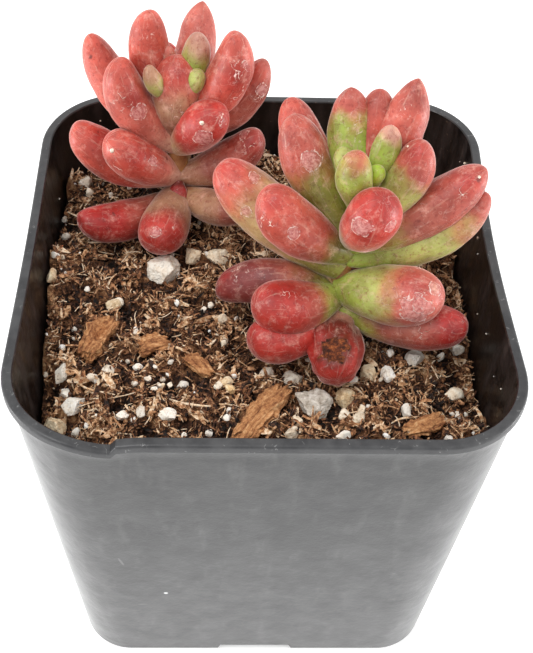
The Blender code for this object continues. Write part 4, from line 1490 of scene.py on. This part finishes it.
def add_leaf(build, leaf, look, marks, number):
    """Put a leaf's skin into a plant's mesh, with the values that its material reads."""
    look = [linear(LEAF_COLOURS[name]) for name in look[:3]] + list(look[3:])
    leaf.wilted = any(mark[0] == "wilt" for mark in marks)
    spots = []
    for kind, along, around, size in marks:
        spots.append((kind, leaf.point(along, math.radians(around)), size * MM))
    points, scabs = [], []
    values = {name: [] for name in LEAF_VALUES}
    rows = [(0.0, 1)]
    for ring in range(1, LEAF_RINGS):
        rows.append((0.5 - 0.5 * math.cos(math.pi * ring / LEAF_RINGS), LEAF_SIDES))
    rows.append((1.0, 1))
    for along, count in rows:
        for around in ring_angles(count):
            skin = leaf.point(along, around)
            tint = leaf_tint(look, along, skin)
            tint, scar, scuff, dark, lift, scab = marked(skin, tint, spots)
            points.append(skin + leaf.outward(around) * lift)
            scabs.append(scab)
            span = 0.5 * leaf.width * (around - math.pi) / MM
            grain = (along * leaf.length / MM, span, number * 9.0)
            for name, value in zip(LEAF_VALUES, (tuple(tint), grain, scar, scuff, dark)):
                values[name].append(value)
    faces = leaf_faces()
    if leaf.side.cross(leaf.above).dot(leaf.ahead) < 0.0:
        faces = [tuple(reversed(face)) for face in faces]
    slots = [SCAB if all(scabs[index] for index in face) else SKIN for face in faces]
    build.add(points, faces, slots, **values)
    sphere, faces = ball(3)
    for kind, centre, size in spots:
        if kind == "speck":
            lump = [centre + point * size * knobbly(point, number, 0.25, 0.1) for point in sphere]
            build.add(lump, faces, CRUST, **PLAIN_VALUES)


def add_stem(build, stem, radius):
    """The stem: a tube with swollen rings where leaves have grown."""
    low, high = stem[0][2], stem[-1][2]
    points = []
    for index in range(STEM_SECTIONS):
        height = low + (high - low) * index / (STEM_SECTIONS - 1)
        smooth = Vector()
        for shift in (-1.5, -0.75, 0.0, 0.75, 1.5):
            smooth += stem_point(stem, min(max(height + shift, low), high)) / 5.0
        smooth.z = height * MM
        knots = noise.noise(Vector((height, 0.0, radius / MM)))
        ring = 1.0 + 0.05 * math.sin(height * 3.3) + 0.04 * knots
        for angle in ring_angles(STEM_SIDES):
            out = Vector((math.cos(angle), math.sin(angle), 0.0))
            wobble = 1.0 + 0.05 * noise.noise(out * 1.5 + Vector((0.0, 0.0, height * 0.6)))
            points.append(smooth + out * radius * ring * wobble * 0.95)
    build.add(points, strip_faces(STEM_SECTIONS, STEM_SIDES), STEM, **PLAIN_VALUES)


def make_plant(name, node, slot, stem, radius, leaves, buds, materials):
    """A stem with its leaves and buds as one piece."""
    build = Build(*LEAF_VALUES)
    add_stem(build, stem, radius)
    for number, (height, *form, base, middle, tip, start, full, marks) in enumerate(leaves):
        leaf = Leaf(stem_point(stem, height), *form, number)
        add_leaf(build, leaf, (base, middle, tip, start, full), marks, number)
    for number, (x, y, z, length, width, turn, rise) in enumerate(buds, FIRST_BUD_SEED):
        leaf = Leaf(Vector((x, y, z)) * MM, turn, rise, length, width, 0.0, 0.5, number)
        add_leaf(build, leaf, BUD_LOOK, (), number)
    place_piece(build.finish(name, materials), slot, node)


# Camera, lights and floor


def make_camera():
    yaw, pitch, roll = (math.radians(value) for value in (CAMERA_YAW, CAMERA_PITCH, CAMERA_ROLL))
    level = math.cos(pitch)
    forward = Vector((math.sin(yaw) * level, math.cos(yaw) * level, -math.sin(pitch)))
    right = Vector((math.cos(yaw), -math.sin(yaw), 0.0))
    up = right.cross(forward)
    tilted_right = right * math.cos(roll) + up * math.sin(roll)
    tilted_up = up * math.cos(roll) - right * math.sin(roll)
    turn = Matrix((tilted_right, tilted_up, -forward)).transposed().to_4x4()
    data = bpy.data.cameras.new("camera")
    data.sensor_width = SENSOR
    data.lens = SENSOR * CAMERA_FOCUS_PIXELS / PHOTO_HEIGHT_PIXELS
    data.clip_start = 5.0 * MM
    camera = bpy.data.objects.new("camera", data)
    camera.matrix_world = Matrix.Translation(Vector(CAMERA_AT) * MM) @ turn
    bpy.context.scene.collection.objects.link(camera)
    bpy.context.scene.camera = camera


def area_light(name, place, size, power):
    """A soft square light that faces the pot."""
    data = bpy.data.lights.new(name, "AREA")
    data.size = size
    data.energy = power
    light = bpy.data.objects.new(name, data)
    light.location = place
    towards = Vector(LIT_SPOT) - Vector(place)
    light.rotation_euler = towards.to_track_quat("-Z", "Y").to_euler()
    bpy.context.scene.collection.objects.link(light)


def make_world():
    world = bpy.data.worlds.new("studio")
    world.use_nodes = True
    background = world.node_tree.nodes["Background"]
    background.inputs["Color"].default_value = WHITE
    background.inputs["Strength"].default_value = WORLD_STRENGTH
    bpy.context.scene.world = world
    bpy.context.scene.view_settings.view_transform = "Standard"


def make_floor():
    """A plain pale floor."""
    finish = Finish("floor_white", 0.9)
    tone = finish.cloud(0.2, detail=1.0)
    finish.colour = finish.ramp(tone, (0.3, (250, 250, 250)), (0.7, (253, 253, 253)))
    bm = bmesh.new()
    bmesh.ops.create_grid(bm, x_segments=2, y_segments=2, size=FLOOR_HALF)
    material = finish.done(emission_color=WHITE, emission_strength=FLOOR_GLOW)
    mesh_object("floor", bm, [material])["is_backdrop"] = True


def main():
    make_camera()
    make_world()
    make_floor()
    for light in LIGHTS:
        area_light(*light)
    make_pot()
    make_soil_bed()
    make_coir()
    chalk = perlite_material()
    make_perlite(chalk)
    make_grains(chalk)
    make_bark(bark_material())
    skins = (leaf_material(), stem_material(), crust_material(), scab_material())
    left = list(LEFT_LEAVES) + far_side_leaves(LEFT_SPIRAL_START)
    right = list(RIGHT_LEAVES) + far_side_leaves(RIGHT_SPIRAL_START)
    left_stem = (LEFT_STEM, LEFT_STEM_RADIUS)
    right_stem = (RIGHT_STEM, RIGHT_STEM_RADIUS)
    make_plant("leafy_stem_left", "left_plant", "pink_leaf", *left_stem, left, BUDS, skins)
    make_plant("leafy_stem_right", "right_plant", "green_pink_leaf", *right_stem, right, (), skins)


main()
visual_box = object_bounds()
boxes = {"cad": cad_box, "visual": visual_box}
{name: [list(corner) for corner in box] for name, box in boxes.items()}
